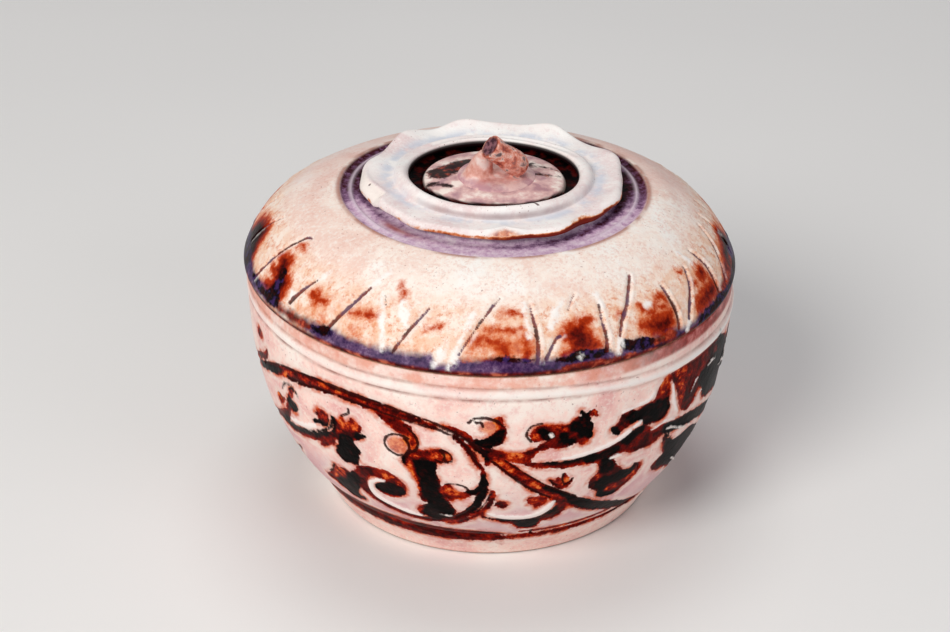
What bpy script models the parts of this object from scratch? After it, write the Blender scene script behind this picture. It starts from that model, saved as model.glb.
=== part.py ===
"""Lidded stoneware jar: a footed bowl with a ledged rim, under a domed lid crowned like a fruit.

The bowl's collar stands up inside the lid's skirt and keeps the lid in place. The lid carries a
pinched calyx collar and, on the disc inside it, a stem knob. Lengths are in metres, +Z is up, and
the origin is the middle of the circle that the foot stands on.
"""

import math

import bmesh
import bpy
from mathutils import Vector
from mathutils.geometry import interpolate_bezier

MM = 0.001

# Fits
SEAT_GAP = 0.3 * MM  # between a piece and what it rests on or is luted to
COLLAR_PLAY = 1.0 * MM  # between the jar's collar and the lid's skirt, all round
COLLAR_HEADROOM = 1.2 * MM  # between the collar's top and the lid's hollow
STEM_MARGIN = 0.8 * MM  # how far the stem's seat runs past its mound

# Foot of the jar
FOOT_RADIUS = 50.8 * MM  # at the ground
FOOT_TOP_RADIUS = 56.4 * MM  # where the belly starts
FOOT_HEIGHT = 10.5 * MM
FOOT_RING = 7.0 * MM  # width of the ring that touches the ground
FOOT_RECESS = 3.5 * MM  # how far the base is hollowed inside the ring
FOOT_RECESS_DRAFT = 2.0 * MM

# Bowl of the jar
BELLY_RADIUS = 74.5 * MM
BELLY_UPPER_PULL = 24.0 * MM  # how far the belly runs straight down from the rim line
BELLY_LOWER_PULL = (12.8 * MM, 16.5 * MM)  # how far it runs out and up from the foot
WALL = 5.5 * MM
FLOOR_HEIGHT = 10.5 * MM
FLOOR_COVE = 9.0 * MM  # height of the hollow's bend from floor to wall
FLOOR_COVE_REACH = 14.0 * MM

# Rim of the jar, with a collar inside the ledge
RIM_HEIGHT = 76.0 * MM  # the ledge that the lid sits on
RIM_INSET = 0.3 * MM  # how far the rim draws in from the belly
RIM_BAND = 7.0 * MM  # plain band between the ledge and the rim line
LEDGE = 5.2 * MM
COLLAR_WALL = 3.4 * MM
COLLAR_HEIGHT = 6.5 * MM
COLLAR_ROOT = 4.0 * MM  # how far below the ledge the collar's inner face runs straight
SHOULDER_HEIGHT = 10.0 * MM  # of the hollow's bend from wall to collar

# Incised lines of the jar
LINE_WIDTH = 1.6 * MM
LINE_DEPTH = 0.7 * MM

# Hoop left standing between two lines under the jar's rim
HOOP_WIDTH = 3.2 * MM  # between the middles of the lines
HOOP_RISE = 0.35 * MM

# Lid, with heights measured from the jar's ledge
LID_OVERHANG = 0.8 * MM  # past the jar's rim
LID_BROW = 1.7 * MM  # height at which the lid's edge passes into the dome
LID_SHOULDER_PULL = (2.6 * MM, 7.0 * MM)  # how far the dome runs in and up from its edge
LID_CROWN_PULL = (17.2 * MM, 2.8 * MM)  # how far it runs out and down from the moat
LID_WALL = 5.0 * MM
LID_CROWN_WALL = 5.5 * MM  # thickness under the calyx's seat

# Crown of the lid: a moat, the calyx's seat, a ring channel and the stem's disc
CALYX_SEAT_HEIGHT = 24.9 * MM
MOAT_WIDTH = 8.2 * MM  # outside the calyx
MOAT_DROP = 1.6 * MM  # from the calyx's seat to the moat's outer edge
MOAT_DEPTH = 0.9 * MM
MOAT_BANK = 1.3 * MM
CHANNEL_WIDTH = 4.3 * MM
CHANNEL_DEPTH = 0.7 * MM
DISC_RISE = 0.8 * MM  # from the calyx's seat to the disc's edge
STEM_SEAT_RISE = 1.9 * MM  # from the calyx's seat to the stem's

# Calyx collar, with heights measured from its own seat
CALYX_HOLE = 25.6 * MM
CALYX_BEAD_WIDTH = 4.4 * MM
CALYX_BEAD_CREST = 1.8 * MM  # flat width on top of the bead
CALYX_BEAD_HEIGHT = 3.6 * MM
CALYX_BEAD_LIP = 2.5 * MM  # height of the hole's wall
CALYX_PLATE = 2.0 * MM  # thickness of the plate outside the bead
CALYX_EDGE = 1.4 * MM  # thickness of the plate's rim
CALYX_RADIUS = 38.6 * MM  # between the corners
CALYX_OVERHANG = 3.1 * MM  # past its seat
CALYX_CORNERS = 8
CORNER_REACH = 3.0 * MM
CORNER_LIFT = 2.4 * MM
CORNER_SHARPNESS = 3

# Stem knob, with heights measured from its own seat
MOUND_RADIUS = 11.8 * MM
MOUND_TOP_RADIUS = 5.4 * MM
MOUND_HEIGHT = 1.5 * MM
STALK_BASE_RADIUS = 7.2 * MM
STALK_TOP_RADIUS = 3.2 * MM
STALK_HEIGHT = 8.6 * MM
STALK_ROOT = 0.7 * MM  # how far up from the seat the stalk is grown into the mound
STALK_FLARE = 2.6 * MM  # how far its foot runs in before it turns up
STALK_CENTRE = (-2.0 * MM, -0.6 * MM)
TWIG_RADIUS = 3.1 * MM
TWIG_LOW_END = (9.8 * MM, 0.4 * MM, 3.6 * MM)
TWIG_CUT_END = (-1.4 * MM, -2.2 * MM, 10.6 * MM)
TWIG_SWELL = (0.56, 0.9, 1.06, 1.12, 1.04, 0.98, 1.02, 1.08)  # from its round end to its cut end

# The whole pot settled in the kiln: the rim's edge stands this much lower on +X than its middle
RIM_DROP = 1.5 * MM
CAGE_MARGIN = 15.0 * MM  # how far the cage of that lean stands outside the lid

# Softened edges and the fineness of round forms
EDGE = 1.1 * MM
SMALL_EDGE = 0.6 * MM
EDGE_ROUNDNESS = 0.55
HANDLE_SHARE = 0.75  # how much of its two handles' pull a bend takes in its middle
WELD = 0.01 * MM
TURN_STEPS = 64
STEM_STEPS = 32
STALK_STEPS = 24
STEPS_PER_CORNER = 4
BEND_STEPS = 9
EDGE_STEPS = 2
SMOOTH_ANGLE = math.radians(40)

# Sizes that follow from fits
RIM_RADIUS = BELLY_RADIUS - RIM_INSET
RIM_LINE_HEIGHT = RIM_HEIGHT - RIM_BAND
COLLAR_RADIUS = RIM_RADIUS - LEDGE
LID_RADIUS = RIM_RADIUS + LID_OVERHANG
SKIRT_RADIUS = COLLAR_RADIUS + COLLAR_PLAY
MOAT_RADIUS = CALYX_RADIUS + MOAT_WIDTH
MOAT_EDGE_HEIGHT = CALYX_SEAT_HEIGHT - MOAT_DROP
DISC_EDGE_HEIGHT = CALYX_SEAT_HEIGHT + DISC_RISE
STEM_SEAT_HEIGHT = CALYX_SEAT_HEIGHT + STEM_SEAT_RISE
CALYX_SEAT_RADIUS = CALYX_RADIUS - CALYX_OVERHANG
CALYX_BEAD_OUTSIDE = CALYX_HOLE + CALYX_BEAD_WIDTH
DISC_RADIUS = CALYX_HOLE - CHANNEL_WIDTH
STEM_SEAT_RADIUS = MOUND_RADIUS + STEM_MARGIN

PARTS = "lidded_jar"
GUIDES = "guides"


def clear_scene():
    for old in list(bpy.data.objects):
        bpy.data.objects.remove(old, do_unlink=True)


def new_collection(name):
    made = bpy.data.collections.new(name)
    bpy.context.scene.collection.children.link(made)
    return made


def glaze(name, colour, roughness):
    """A glazed clay surface."""
    material = bpy.data.materials.new(name)
    material.use_nodes = True
    shader = material.node_tree.nodes["Principled BSDF"]
    shader.inputs["Base Color"].default_value = (*colour, 1.0)
    shader.inputs["Roughness"].default_value = roughness
    shader.inputs["Metallic"].default_value = 0.0
    material.diffuse_color = (*colour, 1.0)
    return material


def bend(start, start_handle, end_handle, end, steps=BEND_STEPS):
    """Points of a smooth bend in an outline, both ends included."""
    knots = [Vector((r, 0.0, z)) for r, z in (start, start_handle, end_handle, end)]
    return [(point.x, point.z) for point in interpolate_bezier(*knots, steps + 1)]


def soften(corner, before, after, setback):
    """A rounded corner in an outline, which starts and ends a setback away from the corner."""
    tip = Vector(corner)
    start = tip + (Vector(before) - tip).normalized() * setback
    end = tip + (Vector(after) - tip).normalized() * setback
    handles = start.lerp(tip, EDGE_ROUNDNESS), end.lerp(tip, EDGE_ROUNDNESS)
    return bend(start, *handles, end, EDGE_STEPS)


def inset(outline, wall):
    """An outer outline moved into the clay by the thickness of the wall."""
    moved = []
    last = len(outline) - 1
    for i, (radius, height) in enumerate(outline):
        along = Vector(outline[min(i + 1, last)]) - Vector(outline[max(i - 1, 0)])
        along.normalize()
        moved.append((radius + along.y * wall, height - along.x * wall))
    return moved


def incision(radius, height):
    """A shallow line cut round a wall, from its upper edge to its lower one."""
    half = LINE_WIDTH / 2
    return [(radius, height + half), (radius - LINE_DEPTH, height), (radius, height - half)]


def link(obj, collection, material):
    collection.objects.link(obj)
    obj.data.materials.append(material)
    return obj


def turned(name, outline, collection, material, closed=False, steps=TURN_STEPS):
    """A piece turned about Z from an outline of (radius, height) points."""
    mesh = bpy.data.meshes.new(name)
    count = len(outline)
    edges = [(i, i + 1) for i in range(count - 1)]
    if closed:
        edges.append((count - 1, 0))
    mesh.from_pydata([(r, 0.0, z) for r, z in outline], edges, [])
    obj = link(bpy.data.objects.new(name, mesh), collection, material)
    screw = obj.modifiers.new("turn", "SCREW")
    screw.axis = "Z"
    screw.angle = math.tau
    screw.steps = steps
    screw.render_steps = steps
    screw.use_merge_vertices = True
    screw.merge_threshold = WELD
    screw.use_smooth_shade = True
    return obj


def as_mesh(obj):
    """Replaces an object by one that holds the mesh its modifiers or its curve make."""
    bpy.context.view_layer.update()
    graph = bpy.context.evaluated_depsgraph_get()
    mesh = bpy.data.meshes.new_from_object(obj.evaluated_get(graph))
    name, place, homes = obj.name, obj.matrix_world.copy(), list(obj.users_collection)
    bpy.data.objects.remove(obj, do_unlink=True)
    made = bpy.data.objects.new(name, mesh)
    made.matrix_world = place
    for home in homes:
        home.objects.link(made)
    return made


def jar_hollow(belly):
    """The inside of the bowl, from the middle of its floor up to the collar's root."""
    collar_inside = COLLAR_RADIUS - COLLAR_WALL
    collar_root = RIM_HEIGHT - COLLAR_ROOT
    lowest = FLOOR_HEIGHT + FLOOR_COVE
    highest = collar_root - SHOULDER_HEIGHT
    wall = [point for point in reversed(inset(belly, WALL)) if lowest < point[1] < highest]
    low, above_low, top = wall[0], wall[1], wall[-1]
    down = (Vector(low) - Vector(above_low)).normalized() * FLOOR_COVE / 2
    floor_edge = (low[0] - FLOOR_COVE_REACH, FLOOR_HEIGHT)
    floor_pull = (low[0] - FLOOR_COVE_REACH / 2, FLOOR_HEIGHT)
    cove = bend(floor_edge, floor_pull, Vector(low) + down, low, EDGE_STEPS * 2)
    middle = (top[1] + collar_root) / 2
    shoulder = bend(
        top,
        (top[0], middle),
        (collar_inside, middle),
        (collar_inside, collar_root),
        EDGE_STEPS * 2,
    )
    return [(0.0, FLOOR_HEIGHT), *cove, *wall[1:-1], *shoulder]


def jar_outline():
    """From the middle of the floor up the inside, over the rim, and down the outside to the base."""
    hoop_line = incision(BELLY_RADIUS, RIM_LINE_HEIGHT + HOOP_WIDTH)
    rim_line = incision(BELLY_RADIUS, RIM_LINE_HEIGHT)
    hoop_top, hoop_foot = hoop_line[-1], rim_line[0]
    hoop_pull = BELLY_RADIUS + HOOP_RISE / HANDLE_SHARE
    hoop = bend(
        hoop_top,
        (hoop_pull, hoop_top[1]),
        (hoop_pull, hoop_foot[1]),
        hoop_foot,
        EDGE_STEPS * 2,
    )
    foot_line = incision(FOOT_TOP_RADIUS, FOOT_HEIGHT)
    belly_top, belly_foot = rim_line[-1], foot_line[0]
    pull_out, pull_up = BELLY_LOWER_PULL
    belly = bend(
        belly_top,
        (belly_top[0], belly_top[1] - BELLY_UPPER_PULL),
        (belly_foot[0] + pull_out, belly_foot[1] + pull_up),
        belly_foot,
    )
    hollow = jar_hollow(belly)
    collar_in_top = (COLLAR_RADIUS - COLLAR_WALL, RIM_HEIGHT + COLLAR_HEIGHT)
    collar_out_top = (COLLAR_RADIUS, RIM_HEIGHT + COLLAR_HEIGHT)
    ledge_inside = (COLLAR_RADIUS, RIM_HEIGHT)
    rim = [
        *soften(collar_in_top, hollow[-1], collar_out_top, EDGE),
        *soften(collar_out_top, collar_in_top, ledge_inside, EDGE),
        ledge_inside,
        *soften((RIM_RADIUS, RIM_HEIGHT), ledge_inside, hoop_line[0], SMALL_EDGE),
    ]
    ground = (FOOT_RADIUS, 0.0)
    ring_inside = (FOOT_RADIUS - FOOT_RING, 0.0)
    recess = (ring_inside[0] - FOOT_RECESS_DRAFT, FOOT_RECESS)
    foot = [
        *soften(ground, foot_line[-1], ring_inside, SMALL_EDGE),
        *soften(ring_inside, ground, recess, SMALL_EDGE),
        recess,
        (0.0, FOOT_RECESS),
    ]
    lines = [*hoop_line[:-1], *hoop[:-1], *rim_line[:-1]]
    return [*hollow, *rim, *lines, *belly[:-1], *foot_line, *foot]


def lid_outline():
    """From the middle of the crown down the outside to the edge, and up inside to the ceiling."""
    moat_floor = MOAT_EDGE_HEIGHT - MOAT_DEPTH
    channel_floor = CALYX_SEAT_HEIGHT - CHANNEL_DEPTH
    crown = [
        (0.0, STEM_SEAT_HEIGHT),
        (STEM_SEAT_RADIUS, STEM_SEAT_HEIGHT),
        (DISC_RADIUS - SMALL_EDGE, DISC_EDGE_HEIGHT),
        (DISC_RADIUS, channel_floor),
        (CALYX_HOLE, channel_floor),
        (CALYX_HOLE + CHANNEL_DEPTH, CALYX_SEAT_HEIGHT),
        (CALYX_SEAT_RADIUS, CALYX_SEAT_HEIGHT),
        (CALYX_SEAT_RADIUS + MOAT_BANK, moat_floor + MOAT_DEPTH / 2),
        (MOAT_RADIUS - MOAT_BANK, moat_floor),
    ]
    pull_out, pull_down = LID_CROWN_PULL
    pull_in, pull_up = LID_SHOULDER_PULL
    dome = bend(
        (MOAT_RADIUS, MOAT_EDGE_HEIGHT),
        (MOAT_RADIUS + pull_out, MOAT_EDGE_HEIGHT - pull_down),
        (LID_RADIUS - pull_in, LID_BROW + pull_up),
        (LID_RADIUS, LID_BROW),
    )
    outer_edge = (LID_RADIUS, SEAT_GAP)
    inner_edge = (SKIRT_RADIUS, SEAT_GAP)
    skirt_top = (SKIRT_RADIUS, COLLAR_HEIGHT + COLLAR_HEADROOM)
    hollow = [
        (radius, height)
        for radius, height in reversed(inset(dome, LID_WALL))
        if height > skirt_top[1] and radius < SKIRT_RADIUS
    ]
    return [
        *crown,
        *dome,
        *soften(outer_edge, dome[-1], inner_edge, EDGE),
        *soften(inner_edge, outer_edge, skirt_top, SMALL_EDGE),
        skirt_top,
        *hollow,
        (0.0, CALYX_SEAT_HEIGHT - LID_CROWN_WALL),
    ]


def calyx_outline():
    """One section through the calyx: a bead round the hole and a thin plate running out from it."""
    crest_inside = CALYX_HOLE + (CALYX_BEAD_WIDTH - CALYX_BEAD_CREST) / 2
    plate_middle = (CALYX_BEAD_OUTSIDE + CALYX_RADIUS) / 2
    return [
        (crest_inside, CALYX_BEAD_HEIGHT),
        (crest_inside + CALYX_BEAD_CREST, CALYX_BEAD_HEIGHT),
        (CALYX_BEAD_OUTSIDE, CALYX_PLATE),
        (plate_middle, CALYX_PLATE),
        (CALYX_RADIUS, CALYX_PLATE),
        (CALYX_RADIUS, CALYX_PLATE - CALYX_EDGE),
        (plate_middle, 0.0),
        (crest_inside, 0.0),
        (CALYX_HOLE, 0.0),
        (CALYX_HOLE, CALYX_BEAD_LIP),
    ]


def pinch_corners(mesh):
    """Draws the calyx's rim out and up at its corners, as fingers pinch wet clay."""
    for vertex in mesh.vertices:
        radius = math.hypot(vertex.co.x, vertex.co.y)
        share = max(0.0, (radius - CALYX_BEAD_OUTSIDE) / (CALYX_RADIUS - CALYX_BEAD_OUTSIDE))
        angle = math.atan2(vertex.co.y, vertex.co.x)
        pinch = share * abs(math.cos(CALYX_CORNERS / 2 * angle)) ** CORNER_SHARPNESS
        vertex.co.x *= 1 + pinch * CORNER_REACH / radius
        vertex.co.y *= 1 + pinch * CORNER_REACH / radius
        vertex.co.z += pinch * CORNER_LIFT


def make_calyx(collection, material):
    """The calyx is turned in coarse steps, pinched, and then smoothed."""
    steps = CALYX_CORNERS * STEPS_PER_CORNER
    ring = turned("calyx_collar", calyx_outline(), collection, material, closed=True, steps=steps)
    calyx = as_mesh(ring)
    pinch_corners(calyx.data)
    rounding = calyx.modifiers.new("rounding", "SUBSURF")
    rounding.levels = 1
    rounding.render_levels = 1
    return calyx


def make_twig(collection, material):
    """The short cut twig that leans across the stalk."""
    curve = bpy.data.curves.new("stem_twig", "CURVE")
    curve.dimensions = "3D"
    curve.bevel_depth = TWIG_RADIUS
    curve.bevel_resolution = 4
    curve.use_fill_caps = True
    spline = curve.splines.new("POLY")
    last = len(TWIG_SWELL) - 1
    spline.points.add(last)
    low, cut = Vector(TWIG_LOW_END), Vector(TWIG_CUT_END)
    for i, swell in enumerate(TWIG_SWELL):
        spline.points[i].co = (*low.lerp(cut, i / last), 1.0)
        spline.points[i].radius = swell
    twig = as_mesh(link(bpy.data.objects.new("stem_twig", curve), collection, material))
    shape = bmesh.new()
    shape.from_mesh(twig.data)
    bmesh.ops.remove_doubles(shape, verts=shape.verts, dist=WELD)
    shape.to_mesh(twig.data)
    shape.free()
    return twig


def make_stalk(collection, material):
    """The stub that the twig leans on, drawn up from a flared foot."""
    foot, top = (STALK_BASE_RADIUS, STALK_ROOT), (STALK_TOP_RADIUS, STALK_HEIGHT)
    middle = (STALK_ROOT + STALK_HEIGHT) / 2
    side = bend(
        top,
        (STALK_TOP_RADIUS, middle),
        (STALK_BASE_RADIUS - STALK_FLARE, middle),
        foot,
        EDGE_STEPS * 3,
    )
    crown = soften(top, (0.0, STALK_HEIGHT), side[1], SMALL_EDGE)
    outline = [(0.0, STALK_HEIGHT), *crown, *side[1:], (0.0, STALK_ROOT)]
    stalk = turned("stem_stalk", outline, collection, material, steps=STALK_STEPS)
    stalk.location = (*STALK_CENTRE, 0.0)
    return stalk


def make_stem(collection, guides, material):
    """Stem knob: a low mound with the stalk and the twig grown into it."""
    mound = [
        (0.0, MOUND_HEIGHT),
        *soften((MOUND_TOP_RADIUS, MOUND_HEIGHT), (0.0, MOUND_HEIGHT), (MOUND_RADIUS, 0.0), EDGE),
        *soften((MOUND_RADIUS, 0.0), (MOUND_TOP_RADIUS, MOUND_HEIGHT), (0.0, 0.0), SMALL_EDGE),
        (0.0, 0.0),
    ]
    stem = turned("stem_knob", mound, collection, material, steps=STEM_STEPS)
    for grown in (make_stalk(guides, material), make_twig(guides, material)):
        grown.parent = stem
        grown.hide_render = True
        grown.display_type = "WIRE"
        union = stem.modifiers.new(grown.name, "BOOLEAN")
        union.operation = "UNION"
        union.solver = "EXACT"
        union.object = grown
    return stem


def make_kiln_cage(collection):
    """A cage whose level at the rim, and the one above it, lean towards +X."""
    half = LID_RADIUS + CAGE_MARGIN
    cage = bpy.data.lattices.new("kiln_cage")
    cage.points_u = 2
    cage.points_v = 2
    cage.points_w = 3
    cage.interpolation_type_u = "KEY_LINEAR"
    cage.interpolation_type_v = "KEY_LINEAR"
    cage.interpolation_type_w = "KEY_LINEAR"
    obj = bpy.data.objects.new("kiln_cage", cage)
    obj.location.z = RIM_HEIGHT
    obj.scale = (2 * half, 2 * half, RIM_HEIGHT)
    obj.hide_render = True
    collection.objects.link(obj)
    corner_drop = RIM_DROP * half / LID_RADIUS
    for point in cage.points:
        if point.co.z >= 0:
            point.co_deform.z -= math.copysign(corner_drop / RIM_HEIGHT, point.co.x)
    return obj


def main():
    clear_scene()
    parts = new_collection(PARTS)
    guides = new_collection(GUIDES)

    painted = glaze("painted_glaze", (0.80, 0.66, 0.58), 0.30)
    crown = glaze("crown_glaze", (0.82, 0.76, 0.74), 0.28)
    iron = glaze("iron_brown_glaze", (0.46, 0.19, 0.09), 0.38)

    jar = turned("jar_body", jar_outline(), parts, painted)
    lid = turned("lid_dome", lid_outline(), parts, painted)
    calyx = make_calyx(parts, crown)
    stem = make_stem(parts, guides, iron)
    pieces = (jar, lid, calyx, stem)

    lift_axis = bpy.data.objects.new("lid_lift_axis", None)
    lift_axis.location.z = RIM_HEIGHT
    parts.objects.link(lift_axis)
    for piece in (lid, calyx, stem):
        piece.parent = lift_axis
    calyx.location.z = CALYX_SEAT_HEIGHT + SEAT_GAP
    stem.location.z = STEM_SEAT_HEIGHT + SEAT_GAP

    cage = make_kiln_cage(guides)
    for piece in pieces:
        lean = piece.modifiers.new("kiln_lean", "LATTICE")
        lean.object = cage
    for mesh in {piece.data for piece in pieces}:
        if mesh.polygons:
            mesh.shade_smooth()
            mesh.set_sharp_from_angle(angle=SMOOTH_ANGLE)


main()
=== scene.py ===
"""Looks of the lidded jar: thrown surfaces, incised lines, iron-brown painting and pooled glaze.

Each piece is a fine grid turned about the jar's axis, cut and raised where the potter worked it,
and leaned as the pot settled in the kiln. Shapes are written in millimetres and put into the frame
in metres. An azimuth is in degrees round the axis: 0 faces the camera (-Y) and 90 is +X.
A brush stroke or a cut is a list of (azimuth, height, half width) points that it passes through,
and a filled shape is a closed list of (azimuth, height) points.
"""

import math

import bpy
import numpy as np
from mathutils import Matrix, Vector


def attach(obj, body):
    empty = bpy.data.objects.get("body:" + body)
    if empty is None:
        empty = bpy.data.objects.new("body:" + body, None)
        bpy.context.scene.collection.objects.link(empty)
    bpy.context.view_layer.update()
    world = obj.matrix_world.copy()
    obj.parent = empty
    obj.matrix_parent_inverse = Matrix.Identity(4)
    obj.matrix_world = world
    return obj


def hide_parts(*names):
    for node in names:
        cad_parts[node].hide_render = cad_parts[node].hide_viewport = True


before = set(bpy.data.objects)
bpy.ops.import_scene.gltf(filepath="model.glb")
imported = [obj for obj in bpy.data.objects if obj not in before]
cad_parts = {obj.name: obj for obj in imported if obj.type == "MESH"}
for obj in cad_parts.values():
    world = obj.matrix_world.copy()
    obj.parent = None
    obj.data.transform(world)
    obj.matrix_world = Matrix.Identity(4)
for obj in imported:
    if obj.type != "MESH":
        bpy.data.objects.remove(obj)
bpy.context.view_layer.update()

MM = 0.001
FAR = -9.0  # a field's value away from every stroke
TINY = 1e-6  # mm that count as nothing

# Sizes shared with the frame
LID_RADIUS = 75.0
RIM_HEIGHT = 76.0
SEAT_GAP = 0.3

# How the pot settled in the kiln. A pair is where a change starts and where it is full.
RIM_DROP = 1.5
CROWN_SLIDE = 1.2
CROWN_SLIDE_HEIGHTS = (95.6, 99.0)
BACK_SAG = 2.4
BACK_SAG_HEIGHTS = (84, 96)
BACK_SAG_BEHIND = (5, 62)
BACK_SAG_TILT = 0.35  # how much more the left sank than the right
BACK_SAG_HALF = 60

# Jar
BELLY_RADIUS = 74.5
RIM_RADIUS = 74.2
RIM_LINE = 69.0
RIM_SEAM = 71.6  # radius on the ledge where the outside and the inside meet
FOOT_LINE = 10.5
FOOT_TOP_RADIUS = 56.4
FOOT_RADIUS = 50.8
FOOT_RING = 7.0
FOOT_RECESS = 3.5
WALL = 5.5
FLOOR = 10.5
COLLAR_RADIUS = 69.0
COLLAR_WALL = 3.4
COLLAR_HEIGHT = 6.5

# Lid, with heights from the ground
LID_EDGE = RIM_HEIGHT + SEAT_GAP
BROW = RIM_HEIGHT + 1.7
MOAT_RADIUS = 46.8
MOAT_EDGE = 99.3
MOAT_FLOOR = 98.4
MOAT_RIDGE_RADIUS = 43.2
CALYX_SEAT = 100.9
CALYX_SEAT_RADIUS = 35.5
CHANNEL_FLOOR = 100.2
CALYX_HOLE = 25.6
DISC_RADIUS = 21.3
DISC_SLIDE = 0.2
DISC_EDGE = 101.7
STEM_SEAT = 102.8
STEM_SEAT_RADIUS = 12.6
SKIRT_RADIUS = 70.0
LID_SEAM = 72.4  # radius under the edge where the top and the inside meet
SKIRT_TOP = RIM_HEIGHT + 7.7
LID_WALL = 5.0
CEILING = 95.4

# Depth of what was cut, rise of what stands proud, and unevenness of the walls
WALL_WANDER = 0.22
CUT_DEPTH = 0.4
RIDGE_RISE = 0.5
INK_BITE = 0.22
LOW_LINE_DEPTH = 0.45
HIGH_LINE_DEPTH = 0.3
FOOT_LINE_DEPTH = 0.6
LID_WANDER = 0.2
PETAL_DEPTH = 0.55
BURR_RISE = 0.2
LIT_STREAK_RISE = 0.15
CREST_RISE = 0.5

# Grids: fine where the camera looks, coarser behind
FRONT_COLUMNS = 440
BACK_COLUMNS = 270
FRONT_SPAN = 82.0
LID_FRONT_SPAN = 92.0


def azimuths(span):
    """Column angles in degrees, with the fine front ones from -span to span."""
    near = np.linspace(-span, span, FRONT_COLUMNS, endpoint=False)
    behind = np.linspace(span, 360.0 - span, BACK_COLUMNS, endpoint=False)
    return np.concatenate([near, behind])


def line(start, end, steps):
    share = np.linspace(0.0, 1.0, steps + 1)[:, None]
    return np.array(start) * (1 - share) + np.array(end) * share


def bend(start, pull, push, end, steps):
    """A smooth bend from start to end, leaving towards pull and arriving from push."""
    t = np.linspace(0.0, 1.0, steps + 1)[:, None]
    a, b, c, d = (np.array(p, float) for p in (start, pull, push, end))
    return a * (1 - t) ** 3 + 3 * b * t * (1 - t) ** 2 + 3 * c * t**2 * (1 - t) + d * t**3


def corner(before, tip, after, setback, steps=3):
    """A rounded corner that starts and ends a setback away from its tip."""
    tip = np.array(tip, float)
    ends = []
    for other in (before, after):
        way = np.array(other, float) - tip
        ends.append(tip + way / np.hypot(*way) * setback)
    return bend(ends[0], (ends[0] + tip) / 2, (ends[1] + tip) / 2, ends[1], steps)


def directions(outline):
    """The unit direction along an outline at each of its points."""
    along = np.gradient(outline, axis=0)
    return along / np.hypot(along[:, 0], along[:, 1])[:, None]


def inset(outline, wall):
    """An outer outline moved into the clay by the thickness of the wall."""
    along = directions(outline)
    return outline + np.stack([along[:, 1], -along[:, 0]], 1) * wall


def joined(*stretches):
    """One outline from stretches, without the points that repeat."""
    points = np.concatenate(stretches)
    step = np.hypot(*np.diff(points, axis=0).T)
    return points[np.concatenate([[True], step > TINY])]


def smooth_step(values, low, high):
    t = np.clip((values - low) / (high - low), 0.0, 1.0)
    return t * t * (3 - 2 * t)


def hill(values, middle, half):
    """A bell-shaped rise of 1 at the middle."""
    return np.exp(-(((values - middle) / half) ** 2))


def signed_angle(angles):
    """Angles in degrees brought into the half turn on each side of 0."""
    return (angles + 180) % 360 - 180


def around(azimuth, table):
    """A value all the way round, from a table of (azimuth, value) points."""
    places, values = zip(*table)
    return np.interp(azimuth, places, values, period=360)


class Turned:
    """A grid of points turned from an outline of (radius, height), row by row down its outside."""

    LEAST_OUTWARD = -0.2  # a row that faces further in than this takes no strokes

    def __init__(self, outline, columns):
        self.outline = outline
        self.azimuth = columns
        along = directions(outline)
        self.out = np.stack([-along[:, 1], along[:, 0]], 1)
        step = np.hypot(*np.diff(outline, axis=0).T)
        self.reach = np.concatenate([[0.0], np.cumsum(step)])
        self.shape = (len(outline), len(columns))
        self.radius = np.repeat(outline[:, :1], len(columns), 1)
        self.height = np.repeat(outline[:, 1:], len(columns), 1)
        self.push = np.zeros(self.shape)
        self.fields = {}

    def rows(self, low, high, radius):
        """The rows of the outer side between two heights, beyond a radius."""
        faces_out = (self.out[:, 0] > self.LEAST_OUTWARD) & (self.outline[:, 0] >= radius)
        between = (self.outline[:, 1] >= low) & (self.outline[:, 1] <= high)
        return np.nonzero(faces_out & between)[0]

    def reach_at(self, rows, heights):
        """How far along the outline some heights lie, among the given rows."""
        order = np.argsort(self.outline[rows, 1])
        return np.interp(heights, self.outline[rows, 1][order], self.reach[rows][order])

    def near(self, rows, reach, middle, spread, margin):
        """The rows and columns about a stroke, and the columns' angles from its middle."""
        close = (self.reach[rows] > reach.min() - margin) & (self.reach[rows] < reach.max() + margin)
        offset = signed_angle(self.azimuth - middle)
        columns = np.nonzero(np.abs(offset) < spread)[0]
        return rows[close], columns, offset[columns]

    def around(self, table):
        """A value for each column, from a table of (azimuth, value) points."""
        return around(self.azimuth, table)[None, :]

    def field(self, name, start=0.0):
        if name not in self.fields:
            self.fields[name] = np.full(self.shape, start)
        return self.fields[name]

    def points(self):
        radius = self.outline[:, :1] + self.push * self.out[:, :1]
        height = self.outline[:, 1:] + self.push * self.out[:, 1:]
        return about_axis(radius, self.azimuth, height)


def about_axis(radius, azimuth, height):
    """Points from radii and heights, with an azimuth for each column."""
    turn = np.radians(azimuth)[None, :]
    return np.stack([radius * np.sin(turn), -radius * np.cos(turn), height], -1)


def lean(points):
    """The pot settled towards +X: its rim dropped, its crown slid and its back sank, on a level foot."""
    x, y, z = np.moveaxis(points, -1, 0)
    leaned = points.copy()
    leaned[..., 2] -= RIM_DROP * x / LID_RADIUS * np.minimum(z / RIM_HEIGHT, 1.0)
    leaned[..., 0] += CROWN_SLIDE * smooth_step(z, *CROWN_SLIDE_HEIGHTS)
    back = smooth_step(y, *BACK_SAG_BEHIND) * (1 - BACK_SAG_TILT * np.clip(x / BACK_SAG_HALF, -1, 1))
    leaned[..., 2] -= BACK_SAG * back * smooth_step(z, *BACK_SAG_HEIGHTS)
    return leaned


def grid_faces(rows, columns, closed_rows=False):
    """Quads of a grid whose columns run all the way round."""
    last = rows if closed_rows else rows - 1
    i, j = np.meshgrid(np.arange(last), np.arange(columns), indexing="ij")
    below, beside = (i + 1) % rows, (j + 1) % columns
    corners = (i * columns + j, below * columns + j, below * columns + beside, i * columns + beside)
    return np.stack([c.ravel() for c in corners], 1)


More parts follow.
